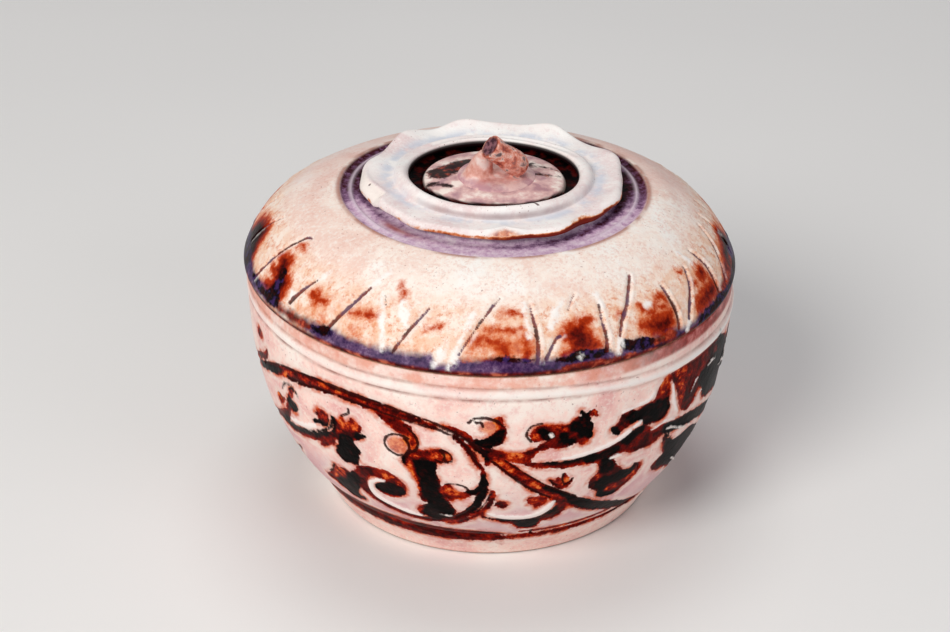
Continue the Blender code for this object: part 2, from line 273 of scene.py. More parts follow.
def new_piece(name, points, faces, fields, material):
    """A smooth mesh object in metres, from points in millimetres and values at each point."""
    mesh = bpy.data.meshes.new(name)
    mesh.from_pydata((lean(points) * MM).tolist(), [], [list(face) for face in faces])
    for key, values in fields.items():
        attribute = mesh.attributes.new(key, "FLOAT", "POINT")
        attribute.data.foreach_set("value", np.asarray(values, np.float32))
    mesh.materials.append(material)
    mesh.shade_smooth()
    piece = bpy.data.objects.new(name, mesh)
    bpy.context.scene.collection.objects.link(piece)
    return piece


def turned_piece(name, turned, material):
    """The piece of a turned grid. An end of the outline that meets the axis closes in one point."""
    rows, columns = turned.shape
    grid = turned.points()
    first = int(turned.outline[0, 0] < TINY)
    last = rows - int(turned.outline[-1, 0] < TINY)
    points = [grid[first:last].reshape(-1, 3)]
    faces = grid_faces(last - first, columns).tolist()
    ring = np.arange(columns)
    beside = np.roll(ring, -1)
    tip = len(points[0])
    bottom = (last - first - 1) * columns
    ends = []
    if first:
        points.append(grid[0].mean(0)[None])
        faces += np.stack([np.full(columns, tip), ring, beside], 1).tolist()
        ends.append(0)
        tip += 1
    if last < rows:
        points.append(grid[-1].mean(0)[None])
        faces += np.stack([np.full(columns, tip), bottom + beside, bottom + ring], 1).tolist()
        ends.append(-1)
    fields = {}
    for key, values in turned.fields.items():
        fields[key] = np.concatenate([values[first:last].ravel(), [values[end].mean() for end in ends]])
    return new_piece(name, np.concatenate(points), faces, fields, material)


def finish_piece(piece, node, body):
    """Hides the CAD node that a piece stands for, and hangs the piece on the body that carries it."""
    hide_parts(node)
    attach(piece, body)


# Strokes

SAMPLE_STEP = 0.5
DEGREE_LENGTH = 1.25  # mm that a degree spans on the wall
DRAW_MARGIN = 6.0  # mm about a stroke where its field is worked out
DRAW_MARGIN_DEGREES = 7.0
FILL_MARGIN = 5.0  # the same about a shape, in mm and in degrees


def stretch(a, b, c, d):
    """Samples of a smooth curve from b up to c, with a before them and d after."""
    length = math.hypot((c[0] - b[0]) * DEGREE_LENGTH, c[1] - b[1])
    t = np.linspace(0.0, 1.0, max(2, int(length / SAMPLE_STEP)), endpoint=False)[:, None]
    square = (2 * a - 5 * b + 4 * c - d) * t**2 / 2
    cube = (3 * b - a - 3 * c + d) * t**3 / 2
    return b + (c - a) * t / 2 + square + cube


def through(points):
    """A smooth stroke through (azimuth, height, half width) points, as closely spaced samples."""
    knots = np.array(points, float)
    knots = np.concatenate([[2 * knots[0] - knots[1]], knots, [2 * knots[-1] - knots[-2]]])
    samples = [stretch(*four) for four in zip(knots, knots[1:], knots[2:], knots[3:])]
    return np.concatenate([*samples, knots[-2:-1]])


def smoothed(outline):
    """A closed smooth line through (azimuth, height) points, as closely spaced samples."""
    knots = np.array(outline, float)
    fours = zip(*(np.roll(knots, shift, axis=0) for shift in (1, 0, -1, -2)))
    return np.concatenate([stretch(*four) for four in fours])


def draw(turned, rows, name, strokes, turn=0.0, grow=0.0):
    """Raises a field to how far each point lies inside the strokes, in mm (negative outside)."""
    field = turned.field(name, FAR)
    for stroke in strokes:
        sample = through(stroke)
        place, width = sample[:, 0], sample[:, 2] + grow
        middle = place.mean()
        reach = turned.reach_at(rows, sample[:, 1])
        spread = np.ptp(place) / 2 + DRAW_MARGIN_DEGREES
        near_row, near_column, offset = turned.near(rows, reach, middle + turn, spread, DRAW_MARGIN)
        across = np.radians(offset[:, None] + middle - place[None, :])
        radius = turned.outline[near_row, :1]
        down = turned.reach[near_row][:, None] - reach[None, :]
        inside = np.full((len(near_row), len(near_column)), FAR)
        for k in range(len(sample)):
            gap = np.hypot(radius * across[None, :, k], down[:, k][:, None])
            inside = np.maximum(inside, width[k] - gap)
        block = np.ix_(near_row, near_column)
        field[block] = np.maximum(field[block], inside)


def fill(turned, rows, name, outlines, turn=0.0):
    """Raises a field to how far each point lies inside closed outlines, in mm (negative outside)."""
    field = turned.field(name, FAR)
    for outline in outlines:
        sample = smoothed(outline)
        middle = (sample[:, 0].min() + sample[:, 0].max()) / 2
        reach = turned.reach_at(rows, sample[:, 1])
        spread = np.ptp(sample[:, 0]) / 2 + FILL_MARGIN
        near_row, near_column, offset = turned.near(rows, reach, middle + turn, spread, FILL_MARGIN)
        place = np.radians(sample[:, 0] - middle)
        side = np.radians(offset)[None, :]
        down = turned.reach[near_row][:, None]
        radius = turned.outline[near_row, :1]
        gap = np.full((len(near_row), len(near_column)), -FAR)
        inside = np.zeros(gap.shape, bool)
        for k in range(len(sample)):
            gap = np.minimum(gap, np.hypot(radius * (side - place[k]), down - reach[k]))
            crosses = (reach[k] > down) != (reach[k - 1] > down)
            if crosses.any():
                share = (down - reach[k]) / (reach[k - 1] - reach[k])
                inside ^= crosses & (side < place[k] + share * (place[k - 1] - place[k]))
        block = np.ix_(near_row, near_column)
        field[block] = np.maximum(field[block], np.where(inside, gap, -gap))


def thin(points, half):
    """A stroke of one half width."""
    return [(azimuth, height, half) for azimuth, height in points]


# Painted vine on the jar's front, which is repeated on its back

VINE = [
    # main stem from the left, up and over
    [(-92, 38, 0.9), (-84, 43, 0.9), (-77, 47.4, 0.9), (-70, 51, 1.0), (-65, 53.6, 1.1), (-60, 56, 1.3),
     (-55, 58.2, 1.5), (-50, 59.6, 1.8), (-46, 60.6, 1.8), (-42, 61.5, 1.7), (-38, 62, 1.5),
     (-34, 62, 1.5), (-30, 61.8, 1.6), (-26, 61.2, 1.5), (-22, 60.8, 1.2), (-18, 60, 0.9),
     (-15, 59.4, 0.7), (-12.4, 58.4, 0.5)],
    # twig above it
    [(-63.4, 60, 0.4), (-64, 58.4, 0.8), (-65.4, 57, 0.9), (-69, 54.6, 0.7), (-75, 51, 0.6),
     (-84, 46, 0.6)],
    # stem that falls into the spiral, in two strands
    [(-8, 55.8, 0.5), (-6, 53.6, 0.6), (-4.6, 50.8, 0.9), (-3.5, 48.2, 0.9), (-2.6, 45.8, 0.7),
     (-2, 44.2, 0.4)],
    [(-3.6, 52.6, 0.7), (-1.8, 51, 0.8), (-0.8, 49.4, 0.8), (-0.4, 47.6, 0.6), (-0.5, 45.8, 0.35)],
    [(-1.5, 44.4, 0.4), (-1.6, 42.6, 0.5), (-1.4, 40.6, 0.7), (-1.4, 38.6, 1.0), (-1.5, 36, 1.2),
     (-1.8, 33.6, 1.1), (-2.6, 31, 1.0), (-3.4, 28.6, 1.1), (-4.6, 26.2, 1.3), (-6.2, 23.8, 1.4),
     (-8.2, 21.8, 1.4), (-10.6, 20, 1.3), (-13, 19, 1.0), (-16, 18.6, 0.9)],
    [(0.9, 34.6, 0.6), (0.6, 32, 0.7), (0, 29.4, 0.7), (-1, 26.8, 0.6), (-2, 24.4, 0.5),
     (-1.6, 22.8, 0.4)],
    [(-2.6, 25.4, 0.4), (-4, 23, 0.5), (-6.4, 20.8, 0.7), (-9, 18.8, 0.8), (-11.6, 18, 0.6)],
    # ribbon under the left curl
    [(-62, 36, 0.9), (-58, 36.8, 1.1), (-54, 37.8, 1.3), (-50, 39, 1.3), (-46, 40.8, 1.3),
     (-43, 42.4, 1.3), (-40, 44.4, 1.4), (-38, 46, 1.5)],
    [(-44.8, 38.2, 0.3), (-42.4, 40.2, 0.6), (-39.6, 43, 0.8)],
    # faint strokes at the far left
    [(-72, 18.6, 0.5), (-65, 23, 0.9), (-60, 27, 0.5)],
    # stem that falls to the right
    [(-1, 50.8, 1.2), (0.4, 49.4, 1.7), (2.4, 46.9, 1.8), (5, 43.5, 1.8), (8, 39.8, 1.7),
     (11, 36.2, 1.8), (14, 33, 2.0), (17, 30.2, 2.1), (20, 27.4, 2.2), (24, 24.8, 2.1), (28, 21.8, 2.2),
     (32, 19.4, 2.2), (36, 17.2, 2.2), (40, 15, 1.9), (44, 13.4, 1.6), (49, 12.2, 1.2)],
    # branch that passes below the first leaf
    [(8.4, 45.6, 0.4), (11, 45, 0.8), (13, 44.6, 1.0), (15, 44.2, 1.1), (18, 43.9, 1.2), (21, 44, 1.5),
     (24, 44.6, 2.0)],
    [(45, 45.4, 1.9), (50, 44.4, 1.9), (56, 43, 2.1), (62, 41, 2.2), (68, 38.6, 2.4), (76, 36, 2.4),
     (88, 35, 2.0), (98, 37, 1.2)],
    # spike and tuft of the first leaf
    [(20.3, 62.6, 0.3), (21.2, 61, 0.7), (22.2, 58.6, 0.8), (22.8, 56, 0.7), (22.8, 53, 0.4)],
    [(22.2, 61.2, 0.4), (23.2, 61.4, 0.6), (24.1, 60.6, 0.4)],
]
VINE_SHAPES = [
    # blob at the far left, plant and its side leaves
    [(-69.4, 63.6), (-68, 64.8), (-66.4, 64.4), (-65.8, 63), (-67, 61.8), (-69, 61.6)],
    [(-84, 27), (-75, 32), (-70, 35.2), (-65, 38), (-62, 40), (-58.6, 42.6), (-57, 45), (-56, 47),
     (-55, 49.6), (-54, 51.6), (-53.4, 53.2), (-52, 54.5), (-51.4, 54.4), (-52.6, 51.2), (-53.4, 49.6),
     (-51.4, 48.8), (-51.6, 46.6), (-53, 45.4), (-55, 44.6), (-56, 42.8), (-57.4, 40), (-59, 37.6),
     (-62, 36.4), (-66, 35.2), (-70, 32.6), (-75, 29.2), (-84, 24.4)],
    [(-61.4, 46), (-60, 47.6), (-58.4, 47.2), (-57, 47.8), (-58, 46), (-59.4, 44.2), (-61, 43.6)],
    # left curl and the flames over the black leaf
    [(-45, 46.8), (-43, 47.5), (-41, 47.8), (-40, 49.4), (-39.8, 52), (-41, 53.2), (-42.4, 53),
     (-43.4, 51.6), (-44, 50.4), (-43, 49), (-44.6, 48.2)],
    [(-38.8, 46), (-38.2, 49), (-38.4, 52.6), (-36.6, 52), (-35.4, 53.4), (-34.6, 52), (-33.6, 52.4),
     (-32.6, 54.8), (-31.4, 53.6), (-30.2, 52.6), (-30.4, 50.6), (-31.2, 50), (-29.4, 49.6), (-31, 48),
     (-32.4, 46.8), (-33.4, 45.8), (-35, 45.4), (-37, 45)],
    [(-36.8, 46.2), (-35, 47.2), (-33.6, 46.6), (-32.6, 44.6), (-31.7, 43), (-32.2, 41), (-32.7, 39),
     (-33, 37.4), (-34.4, 36.6), (-36.6, 36.4), (-38.4, 36.8), (-39.4, 38.2), (-38.9, 40), (-38, 42.4),
     (-37.5, 44.6)],
    # lower left leaf
    [(-49.4, 23), (-46.6, 25.4), (-44.4, 28), (-42.8, 30.6), (-42, 32), (-41, 31.2), (-39.4, 32.2),
     (-38, 32), (-37, 31.2), (-36, 32.6), (-34.6, 33.6), (-34.2, 30), (-34.8, 27), (-36.2, 25),
     (-37.6, 22.6), (-37.6, 20.2), (-36.4, 20.6), (-36.6, 19), (-38.4, 17.8), (-40.4, 17.6),
     (-43, 18.8), (-44.6, 20.2), (-46.6, 21.8)],
    # spiral
    [(-34.8, 33.4), (-33, 36.4), (-31, 37.5), (-28, 38), (-25, 37.9), (-23, 36.9), (-21.6, 35),
     (-20.8, 32.8), (-21.3, 30), (-22.6, 28), (-24.6, 26.6), (-27, 26.5), (-28.8, 27.3), (-29.7, 29),
     (-29.2, 30.8), (-27.6, 32.1), (-26.4, 32.5), (-26.2, 33.6), (-28, 34.4), (-29.9, 34), (-31.5, 32),
     (-32.3, 29.4), (-32.1, 26.6), (-31, 24.5), (-28, 22.3), (-24, 20.5), (-20, 19.3), (-16.6, 19.4),
     (-16, 17.9), (-20, 17.6), (-25, 18.2), (-29, 19.8), (-32, 21.4), (-34, 23.4), (-35.5, 26),
     (-35.5, 30)],
    # stalk, curls and body of the hanging leaf
    [(-26.6, 59.8), (-24, 57.5), (-21.5, 55.3), (-19.8, 53.9), (-18.2, 54.4), (-17.4, 56.4),
     (-18.6, 58), (-21, 59), (-24, 59.9)],
    [(-19.7, 54.1), (-17.4, 55.2), (-16.3, 52.4), (-16.5, 49.6), (-15, 49.4), (-13, 49.9),
     (-11.4, 50.3), (-10, 50), (-8.9, 48.8), (-8.4, 47), (-9.4, 45.9), (-11, 45.6), (-13, 45.6),
     (-16, 46.6), (-18.4, 47.2), (-18.7, 50)],
    [(-18.6, 47.6), (-17, 47), (-15, 47.4), (-13.6, 46.4), (-12.4, 45), (-12.3, 43), (-12.6, 41.2),
     (-11.9, 39), (-11.8, 36.6), (-11.5, 34), (-11.1, 32), (-10.3, 29.6), (-9.6, 28), (-9.2, 26.4),
     (-8.8, 24.6), (-9.2, 23), (-10.6, 21.6), (-12, 19.8), (-14, 19.1), (-16, 19.5), (-17.4, 20.4),
     (-18.9, 21.5), (-19.4, 22.8), (-18.5, 24.5), (-17, 25.8), (-15.6, 26.9), (-15.8, 27.9),
     (-17.2, 28.2), (-17.4, 30), (-17.2, 33), (-17.4, 36), (-18.2, 39.4), (-19.2, 42), (-20.3, 43.4),
     (-20.4, 45), (-19.5, 46.7)],
    # small curl beside it
    [(-11.8, 32.6), (-11.8, 34.4), (-11, 36.2), (-9.8, 37.1), (-8.9, 36.2), (-8.5, 34.8), (-7, 34),
     (-5.6, 34.7), (-3.6, 35.8), (-2, 37.6), (-1.4, 36), (-2.6, 33.8), (-4.4, 33.6), (-5, 32.5),
     (-6.6, 31.1), (-8.4, 31), (-9.4, 29.8), (-10.4, 30.6)],
    # node: left arm, comma and first branch
    [(-10.4, 59.3), (-8.6, 59), (-6, 58), (-4.2, 56), (-3, 54), (-1.4, 52.4), (-2.6, 51.6), (-4.6, 54),
     (-6.4, 55.9), (-8.4, 57.5)],
    [(-3.8, 54.8), (-2.7, 53.2), (-0.8, 52.6), (1, 52.9), (2.5, 54.1), (3.5, 56.4), (3.6, 58.4),
     (2.8, 60.4), (2.5, 63), (1, 62.3), (1.3, 60.6), (1.5, 58.9), (0.9, 57.1), (-0.4, 55.9), (-2, 55),
     (-3, 55.3)],
    [(-1.2, 52.5), (0.6, 51.9), (2.4, 51.1), (4, 50.3), (6, 50.1), (8, 50.6), (10, 51.5), (11.6, 52.8),
     (12.6, 53.2), (13.4, 51.4), (12.2, 50.6), (10.6, 49.8), (9.4, 48), (8.8, 46.4), (7, 46.5),
     (5, 46.8), (2.4, 48), (0, 49.6)],
    # first leaf
    [(8.9, 56.4), (9.9, 58.5), (12, 59.4), (14, 59.1), (16, 58.7), (18, 58.9), (19, 60.4), (20.4, 61),
     (21.8, 60), (22.8, 57.6), (22.8, 54.6), (22.5, 51.5), (21.4, 50.6), (19.6, 51.8), (18, 51),
     (16, 50.8), (14, 51.2), (12.4, 52.6), (13.2, 53.8), (12, 54.3), (10.6, 54), (9.3, 54.6)],
    # second leaf and its spur
    [(28.1, 53.8), (29, 51.6), (30.2, 51.3), (32, 52.8), (34.4, 54), (36.6, 54), (37, 52.2), (38, 51),
     (41, 50), (43, 50.4), (44.8, 51.8), (45.1, 54), (44.7, 56.6), (44.6, 59), (44.5, 62), (45.2, 64),
     (44.2, 65.4), (42.6, 64.4), (41.4, 62.8), (40.6, 60.6), (39.8, 58.8), (38, 58.4), (36, 58.2),
     (34.6, 57.6), (33.6, 58.8), (32, 58.6), (30.8, 57.8), (30.2, 56), (29.4, 54.8)],
    # stem behind it, and the third leaf that hangs from it
    [(22, 45.7), (26, 46.5), (29, 47.5), (32, 49), (34, 50.3), (36.6, 51.4), (38, 50.6), (39.6, 49),
     (40.6, 47.7), (42.6, 47.8), (45, 47.4), (47, 46.6), (47, 44), (44, 43.4), (42, 42.1), (38, 41.8),
     (35, 42.4), (33, 43.2), (31, 43.4), (30, 42.4), (31.4, 38.8), (33, 36.8), (34, 35.3), (36.2, 34.7),
     (37.4, 36.2), (39, 35.6), (40.1, 34), (39.8, 31.6), (38.5, 29.4), (37.4, 27.8), (36, 26.4),
     (34.6, 24.8), (32, 24.4), (30, 24.8), (28.6, 26.3), (27.8, 28.9), (26, 30.4), (24.8, 32),
     (24.8, 34.4), (25.3, 36), (26.3, 37.6), (26.4, 40), (25, 42.4), (22, 43)],
    # upper leaf at the far right
    [(44.9, 65.2), (46.4, 65.7), (50, 65.7), (54, 65.2), (60, 65.3), (66, 64.6), (71, 63), (74, 60.4),
     (77, 61.6), (81, 60), (83, 56.4), (81.6, 53.8), (86, 54), (91, 51), (94.6, 46.4), (89, 46.4),
     (85, 47.6), (83, 44), (78, 41.6), (72, 43), (66, 44.6), (61, 47), (59.6, 50), (58.6, 52.6),
     (56.6, 51.6), (55.6, 49.2), (52.6, 48), (50.4, 49.4), (49.2, 52), (48.3, 55), (47.4, 58),
     (46.4, 61), (45.6, 63)],
    # lower leaf at the far right
    [(46, 43.4), (47.4, 40.6), (49.4, 38.4), (52, 37), (54.6, 37.6), (57, 37.8), (60, 37), (64, 34.4),
     (69, 31.4), (72, 33), (77, 31.6), (80, 28), (78.4, 25.6), (83, 25.4), (88, 22.4), (91.6, 18.4),
     (86, 18.8), (82, 20), (80, 16.6), (75, 14.4), (69, 16.4), (64, 17.6), (58, 21), (54, 24.4),
     (50, 25.6), (46.6, 27.6), (45, 30), (46.4, 32.4), (48, 33.6), (47, 35.6), (46.2, 38.4),
     (45.4, 41.4)],
    # sprig on the falling stem
    [(14, 38.4), (14.8, 36.6), (16.2, 34.8), (17.6, 33.4), (19, 34.6), (20, 36.6), (20, 38), (19, 36.8),
     (18.5, 38.8), (17.5, 40.2), (17.2, 38), (16, 39.2), (15.6, 37.6)],
    # bowl shape under the node and the spots in it
    [(-1.8, 22.5), (2, 21.3), (4, 21), (7, 20.6), (10, 20.6), (13, 20.8), (15.2, 22.6), (16.8, 25.4),
     (17.4, 28.6), (19, 29.2), (20.4, 27), (20.4, 24.4), (19.4, 21.8), (18, 20), (16.4, 18.8),
     (14.4, 18.6), (14, 17), (12.6, 15.2), (11, 14.6), (9, 14.8), (7.3, 15.9), (6.3, 17.7), (5.2, 18.8),
     (3, 19.8), (0.6, 21)],
    [(1.3, 28.6), (2.2, 30.3), (3.7, 29.9), (4.5, 28), (3, 27)],
    [(9.4, 30.7), (11, 31.6), (12.6, 31.2), (14.5, 30.8), (14.4, 29), (12.9, 27.3), (11.6, 26.2),
     (10.8, 28), (9.6, 28.5)],
]

# Where the brown glaze pools black; the first stroke is painted shade instead
POOLS = [
    # painted shade: a dark strip from azimuth 66 to 78 that links the two far right leaves
    [(66, 67, 1.0), (69, 61, 2.2), (72, 54, 3.0), (74, 46, 3.0), (76, 38, 2.6), (78, 30, 1.6)],
    [(-1.4, 40.4, 0.5), (-1.4, 38, 0.8), (-1.6, 35, 0.8), (-2.2, 32.4, 0.5), (-3.4, 28.8, 0.4),
     (-5, 25.6, 0.4)],
    [(-62, 36.4, 0.4), (-58, 37.9, 0.7), (-54, 39.1, 0.7), (-50, 40.5, 0.7), (-46, 42.3, 0.7),
     (-43, 44.3, 0.7), (-40.6, 46.5, 0.7), (-39, 49, 0.7), (-38.4, 51, 0.6), (-38.5, 52.4, 0.4)],
    [(-57, 50.8, 0.3), (-56.4, 52.4, 0.5), (-55, 54.1, 0.6), (-53.6, 54.9, 0.6), (-51.8, 54.9, 0.6),
     (-50.6, 53.9, 0.5), (-50, 52.2, 0.35)],
    [(-45.2, 47, 0.3), (-43.6, 47.4, 0.6), (-42, 47.7, 0.4)],
    [(-31.8, 48.4, 0.4), (-30.6, 49.2, 0.7), (-29.4, 49.5, 0.4)],
    [(-37.2, 20, 0.4), (-36.6, 19.8, 0.6)],
    [(-19.9, 46.6, 0.5), (-20.3, 44.6, 0.7), (-20.2, 42.8, 0.4)],
    [(-5, 34.8, 0.4), (-3.4, 35, 0.7), (-2, 36.2, 0.7)],
    [(-8.2, 56.4, 0.2), (-7.6, 55.4, 0.5)],
    [(-2.4, 51.2, 0.6), (-1.2, 50, 0.7), (-0.6, 48.4, 0.5)],
    [(20.3, 62.6, 0.3), (21.2, 61, 0.6), (22.2, 58.6, 0.6), (22.8, 56, 0.5), (22.8, 53, 0.3)],
    [(10.8, 57.6, 0.3), (12, 56.8, 0.7), (12.6, 55.2, 0.5)],
    [(16.6, 54.8, 0.4), (17.2, 53.2, 0.7), (18.6, 52.2, 0.5)],
    [(19, 58, 0.4), (20.2, 56.4, 0.8), (20.8, 54.4, 0.4)],
    [(12, 46, 0.25), (16, 45.5, 0.35), (20, 45.4, 0.4), (24, 46, 0.5)],
    [(23, 44.4, 0.8), (27, 44.6, 0.9), (30, 45, 0.7)],
    [(-0.6, 22.2, 0.35), (2, 21.6, 0.4), (5, 21, 0.5), (9, 20.7, 0.5), (12.4, 21, 0.5),
     (14.6, 22.4, 0.5), (16.4, 25, 0.4)],
    [(13.4, 34.6, 0.5), (16, 33, 0.6), (19, 30, 0.5), (22, 26.6, 0.9), (26, 23.6, 1.4), (30, 21, 1.7),
     (35, 18, 1.7), (40, 15.4, 1.4), (45, 13.6, 1.2)],
    [(28.4, 53.4, 0.3), (29.2, 52.4, 0.6), (30.2, 52, 0.3)],
    [(29.2, 28.6, 0.4), (29.6, 26.4, 0.6), (31.4, 25.2, 0.5), (33.4, 25.2, 0.3)],
    [(46, 45, 1.4), (50, 44.2, 1.5), (56, 42.8, 1.7), (62, 41, 1.8), (68, 38.8, 2.0), (76, 36, 1.8)],
    [(-70, 50.6, 0.4), (-65, 53, 0.6), (-60, 55.4, 0.6), (-56, 57.8, 0.4)],
]
POOL_SHAPES = [
    [(-36.7, 45.8), (-35, 46.7), (-33.7, 46.2), (-32.8, 44.4), (-32.1, 43), (-32.6, 41), (-33.2, 39),
     (-33.5, 37.8), (-34.6, 37.2), (-36.6, 37), (-38.2, 37.4), (-38.8, 38.4), (-38.4, 40),
     (-37.6, 42.4), (-37.2, 44.6)],
    [(-54.8, 48.8), (-53, 48.9), (-51.7, 48), (-52, 46.4), (-53.6, 46), (-55, 46.8)],
    [(-45, 22.4), (-43, 25), (-40.8, 25.2), (-39.2, 26.6), (-38, 30), (-36.6, 31.8), (-35.6, 31.2),
     (-36, 28), (-37, 24.6), (-38, 21.6), (-38.8, 18.6), (-41, 18.4), (-43, 19.8)],
    [(-29, 30), (-27.4, 31.5), (-25.4, 32.2), (-23, 31.7), (-22, 30.4), (-22.6, 28.8), (-24.4, 27.7),
     (-27, 27.9), (-28.8, 28.8)],
    [(-17.4, 44.8), (-15.4, 45.2), (-12.9, 44.6), (-12.9, 42), (-12.7, 39), (-13.1, 36), (-12.8, 33),
     (-12.3, 30.6), (-11, 28), (-10, 25.8), (-10, 23.8), (-11.4, 21.4), (-13.6, 19.8), (-15.6, 20.2),
     (-17, 21.8), (-17, 24), (-15.4, 26.2), (-14.8, 28), (-15.8, 30.6), (-16.1, 34), (-16.4, 38),
     (-17, 41.6)],
    [(-2.9, 54), (-1, 53), (1, 53.4), (2.5, 54.9), (3, 57), (2.3, 58.2), (1.3, 56.7), (-0.4, 55.2),
     (-2, 54.7)],
    [(37, 53), (38.4, 51.6), (41, 50.8), (43, 51.2), (44.3, 52.4), (44.6, 54.4), (44.1, 56.6),
     (42.4, 57), (40, 57.4), (37, 57), (34, 56.8), (32.4, 55.6), (33.4, 54.8)],
    [(27.4, 33.4), (28.6, 34.6), (30, 34), (32, 33.6), (34, 34.6), (36, 34), (37.6, 34.2), (37, 32.4),
     (34.4, 31), (32, 31.6), (29.6, 30.6), (28, 31)],
    [(27.6, 42.6), (29.2, 41), (30, 38.4), (28.6, 37.2), (27.2, 39.4)],
    [(7.8, 20.2), (10.4, 20.6), (12.2, 19.8), (12.8, 17.6), (11.5, 15.6), (9.3, 16), (7.8, 17.5)],
    [(32, 48.4), (34.6, 50), (36.4, 50.8), (37.4, 49.6), (35.4, 48.2), (33.6, 46.8)],
    [(57.6, 57.4), (60, 57.8), (64, 59), (69, 59.6), (72, 57.4), (76, 58.6), (80, 57), (80.6, 54),
     (78.6, 52), (83, 51.8), (88, 49.4), (91, 47.2), (86, 48), (82.4, 48.6), (80, 45.6), (76, 43.8),
     (72, 44.6), (66, 46), (62, 48), (60.6, 51), (59, 53.6), (57.4, 54.6)],
    [(47, 42.6), (48.6, 40), (51, 38), (55, 38), (60, 36.6), (64, 34), (69, 30.4), (72.4, 31.4),
     (76, 30), (77.6, 27.6), (75.6, 24.6), (80, 24), (85, 21.6), (87.6, 19.6), (83, 20.6), (79, 21.6),
     (77, 18.2), (73, 16.4), (68, 18), (64, 19.4), (58, 22.6), (54, 26), (49.6, 28.4), (48, 31),
     (49.6, 33.6), (48.4, 36.4)],
]

# Fine lines cut through the glaze: stem edges, curls and outlines
CUTS = [
    thin([(-67, 53.4), (-61, 57), (-56, 59.7), (-50, 61.4), (-46, 62.4), (-42, 63.1), (-36, 63.4),
          (-30, 63.3), (-25, 62.8), (-22, 62.3), (-19, 61.6), (-16, 60.8), (-13, 59.9), (-11, 59),
          (-9.5, 58), (-8, 57), (-6, 55.5), (-4, 53.3), (-2.4, 51.4)], 0.48),
    thin([(-54, 57.2), (-50, 57.9), (-46, 58.9), (-42, 60), (-37, 60.6), (-32, 60.6), (-27, 60.2),
          (-22, 59.4), (-18, 58.8), (-15, 58.3), (-12, 57.8), (-10, 56.8), (-8, 55.5), (-6.4, 53.8),
          (-5, 51.8), (-4, 49.6)], 0.45),
    thin([(-40, 62.2), (-34, 62.5), (-28, 62.2), (-23, 61.2), (-18, 60.2), (-14, 59)], 0.32),
    thin([(-18.6, 52.6), (-19.8, 53.3), (-21.4, 53.4), (-23, 52.6), (-24.2, 50.8), (-24.4, 48.6),
          (-23.4, 46.8), (-21.6, 45.7), (-20, 46)], 0.46),
    thin([(-18.2, 56), (-17, 54.4), (-16.3, 52), (-16.5, 50), (-17.2, 48.5), (-18.4, 47.4),
          (-19.6, 46)], 0.5),
    thin([(-19.6, 53), (-18.7, 51.2), (-18.5, 49), (-19.3, 46.8)], 0.42),
    thin([(-10.9, 50.3), (-9.4, 49.4), (-8.6, 47.8), (-8.8, 46.2), (-10.2, 45.7)], 0.45),
    thin([(-11.2, 49.9), (-10.3, 48.2), (-10.5, 46.2)], 0.42),
    thin([(-12.4, 46), (-11.2, 45.6), (-10.2, 46)], 0.4),
    thin([(-35.4, 54.2), (-34.2, 55.2), (-33.3, 56.2), (-33.3, 57.4)], 0.45),
    thin([(11.6, 60), (9.6, 59.7), (8.3, 57.9), (8.2, 55.9), (9.2, 54.1)], 0.4),
    thin([(-4.6, 60.8), (-3.6, 62.1), (-1.9, 62.7), (0, 62.4), (1.6, 61.4), (2.8, 59.8)], 0.45),
    thin([(-3, 60.9), (-1.8, 61), (-1.5, 59.6)], 0.4),
    thin([(-10.6, 36.8), (-8.8, 37.3), (-6.8, 37), (-5.6, 36.2), (-5.2, 35)], 0.42),
    thin([(3.4, 47.2), (6.4, 43.8), (10, 39.8), (13, 36.6), (16, 33.9), (19, 31.2), (22, 28.8)], 0.4),
    thin([(0.6, 47), (3, 43.8), (6, 39.6), (9, 36), (12, 32.8), (15, 30)], 0.4),
    thin([(-3.6, 48.6), (-2.8, 46.4), (-2.1, 44.4)], 0.36),
    thin([(-5, 50.6), (-4, 48.2), (-3, 46)], 0.36),
    thin([(0.2, 33.6), (-0.6, 30.6), (-1.8, 27.6), (-3.2, 25)], 0.36),
    thin([(-4, 27), (-6, 24), (-9, 21.4)], 0.36),
    thin([(14.2, 38.2), (15.2, 36.4), (16.6, 35)], 0.4),
    thin([(17.4, 40), (17.4, 37.6), (18, 35.6)], 0.38),
    thin([(20, 37.6), (19.4, 36), (18.2, 35)], 0.42),
    thin([(31, 57.4), (32.6, 57), (33.4, 58)], 0.4),
    thin([(31.6, 55.4), (32.6, 54.6)], 0.4),
    thin([(37.4, 36), (38.8, 34.8), (39.6, 32.8)], 0.42),
    thin([(-46.4, 26), (-44.4, 28.4), (-42.6, 31.6)], 0.4),
    thin([(-60.4, 46.6), (-59.4, 45.2)], 0.5),
    thin([(12.4, 13), (12.2, 11.4), (12.6, 9.8)], 0.4),
]
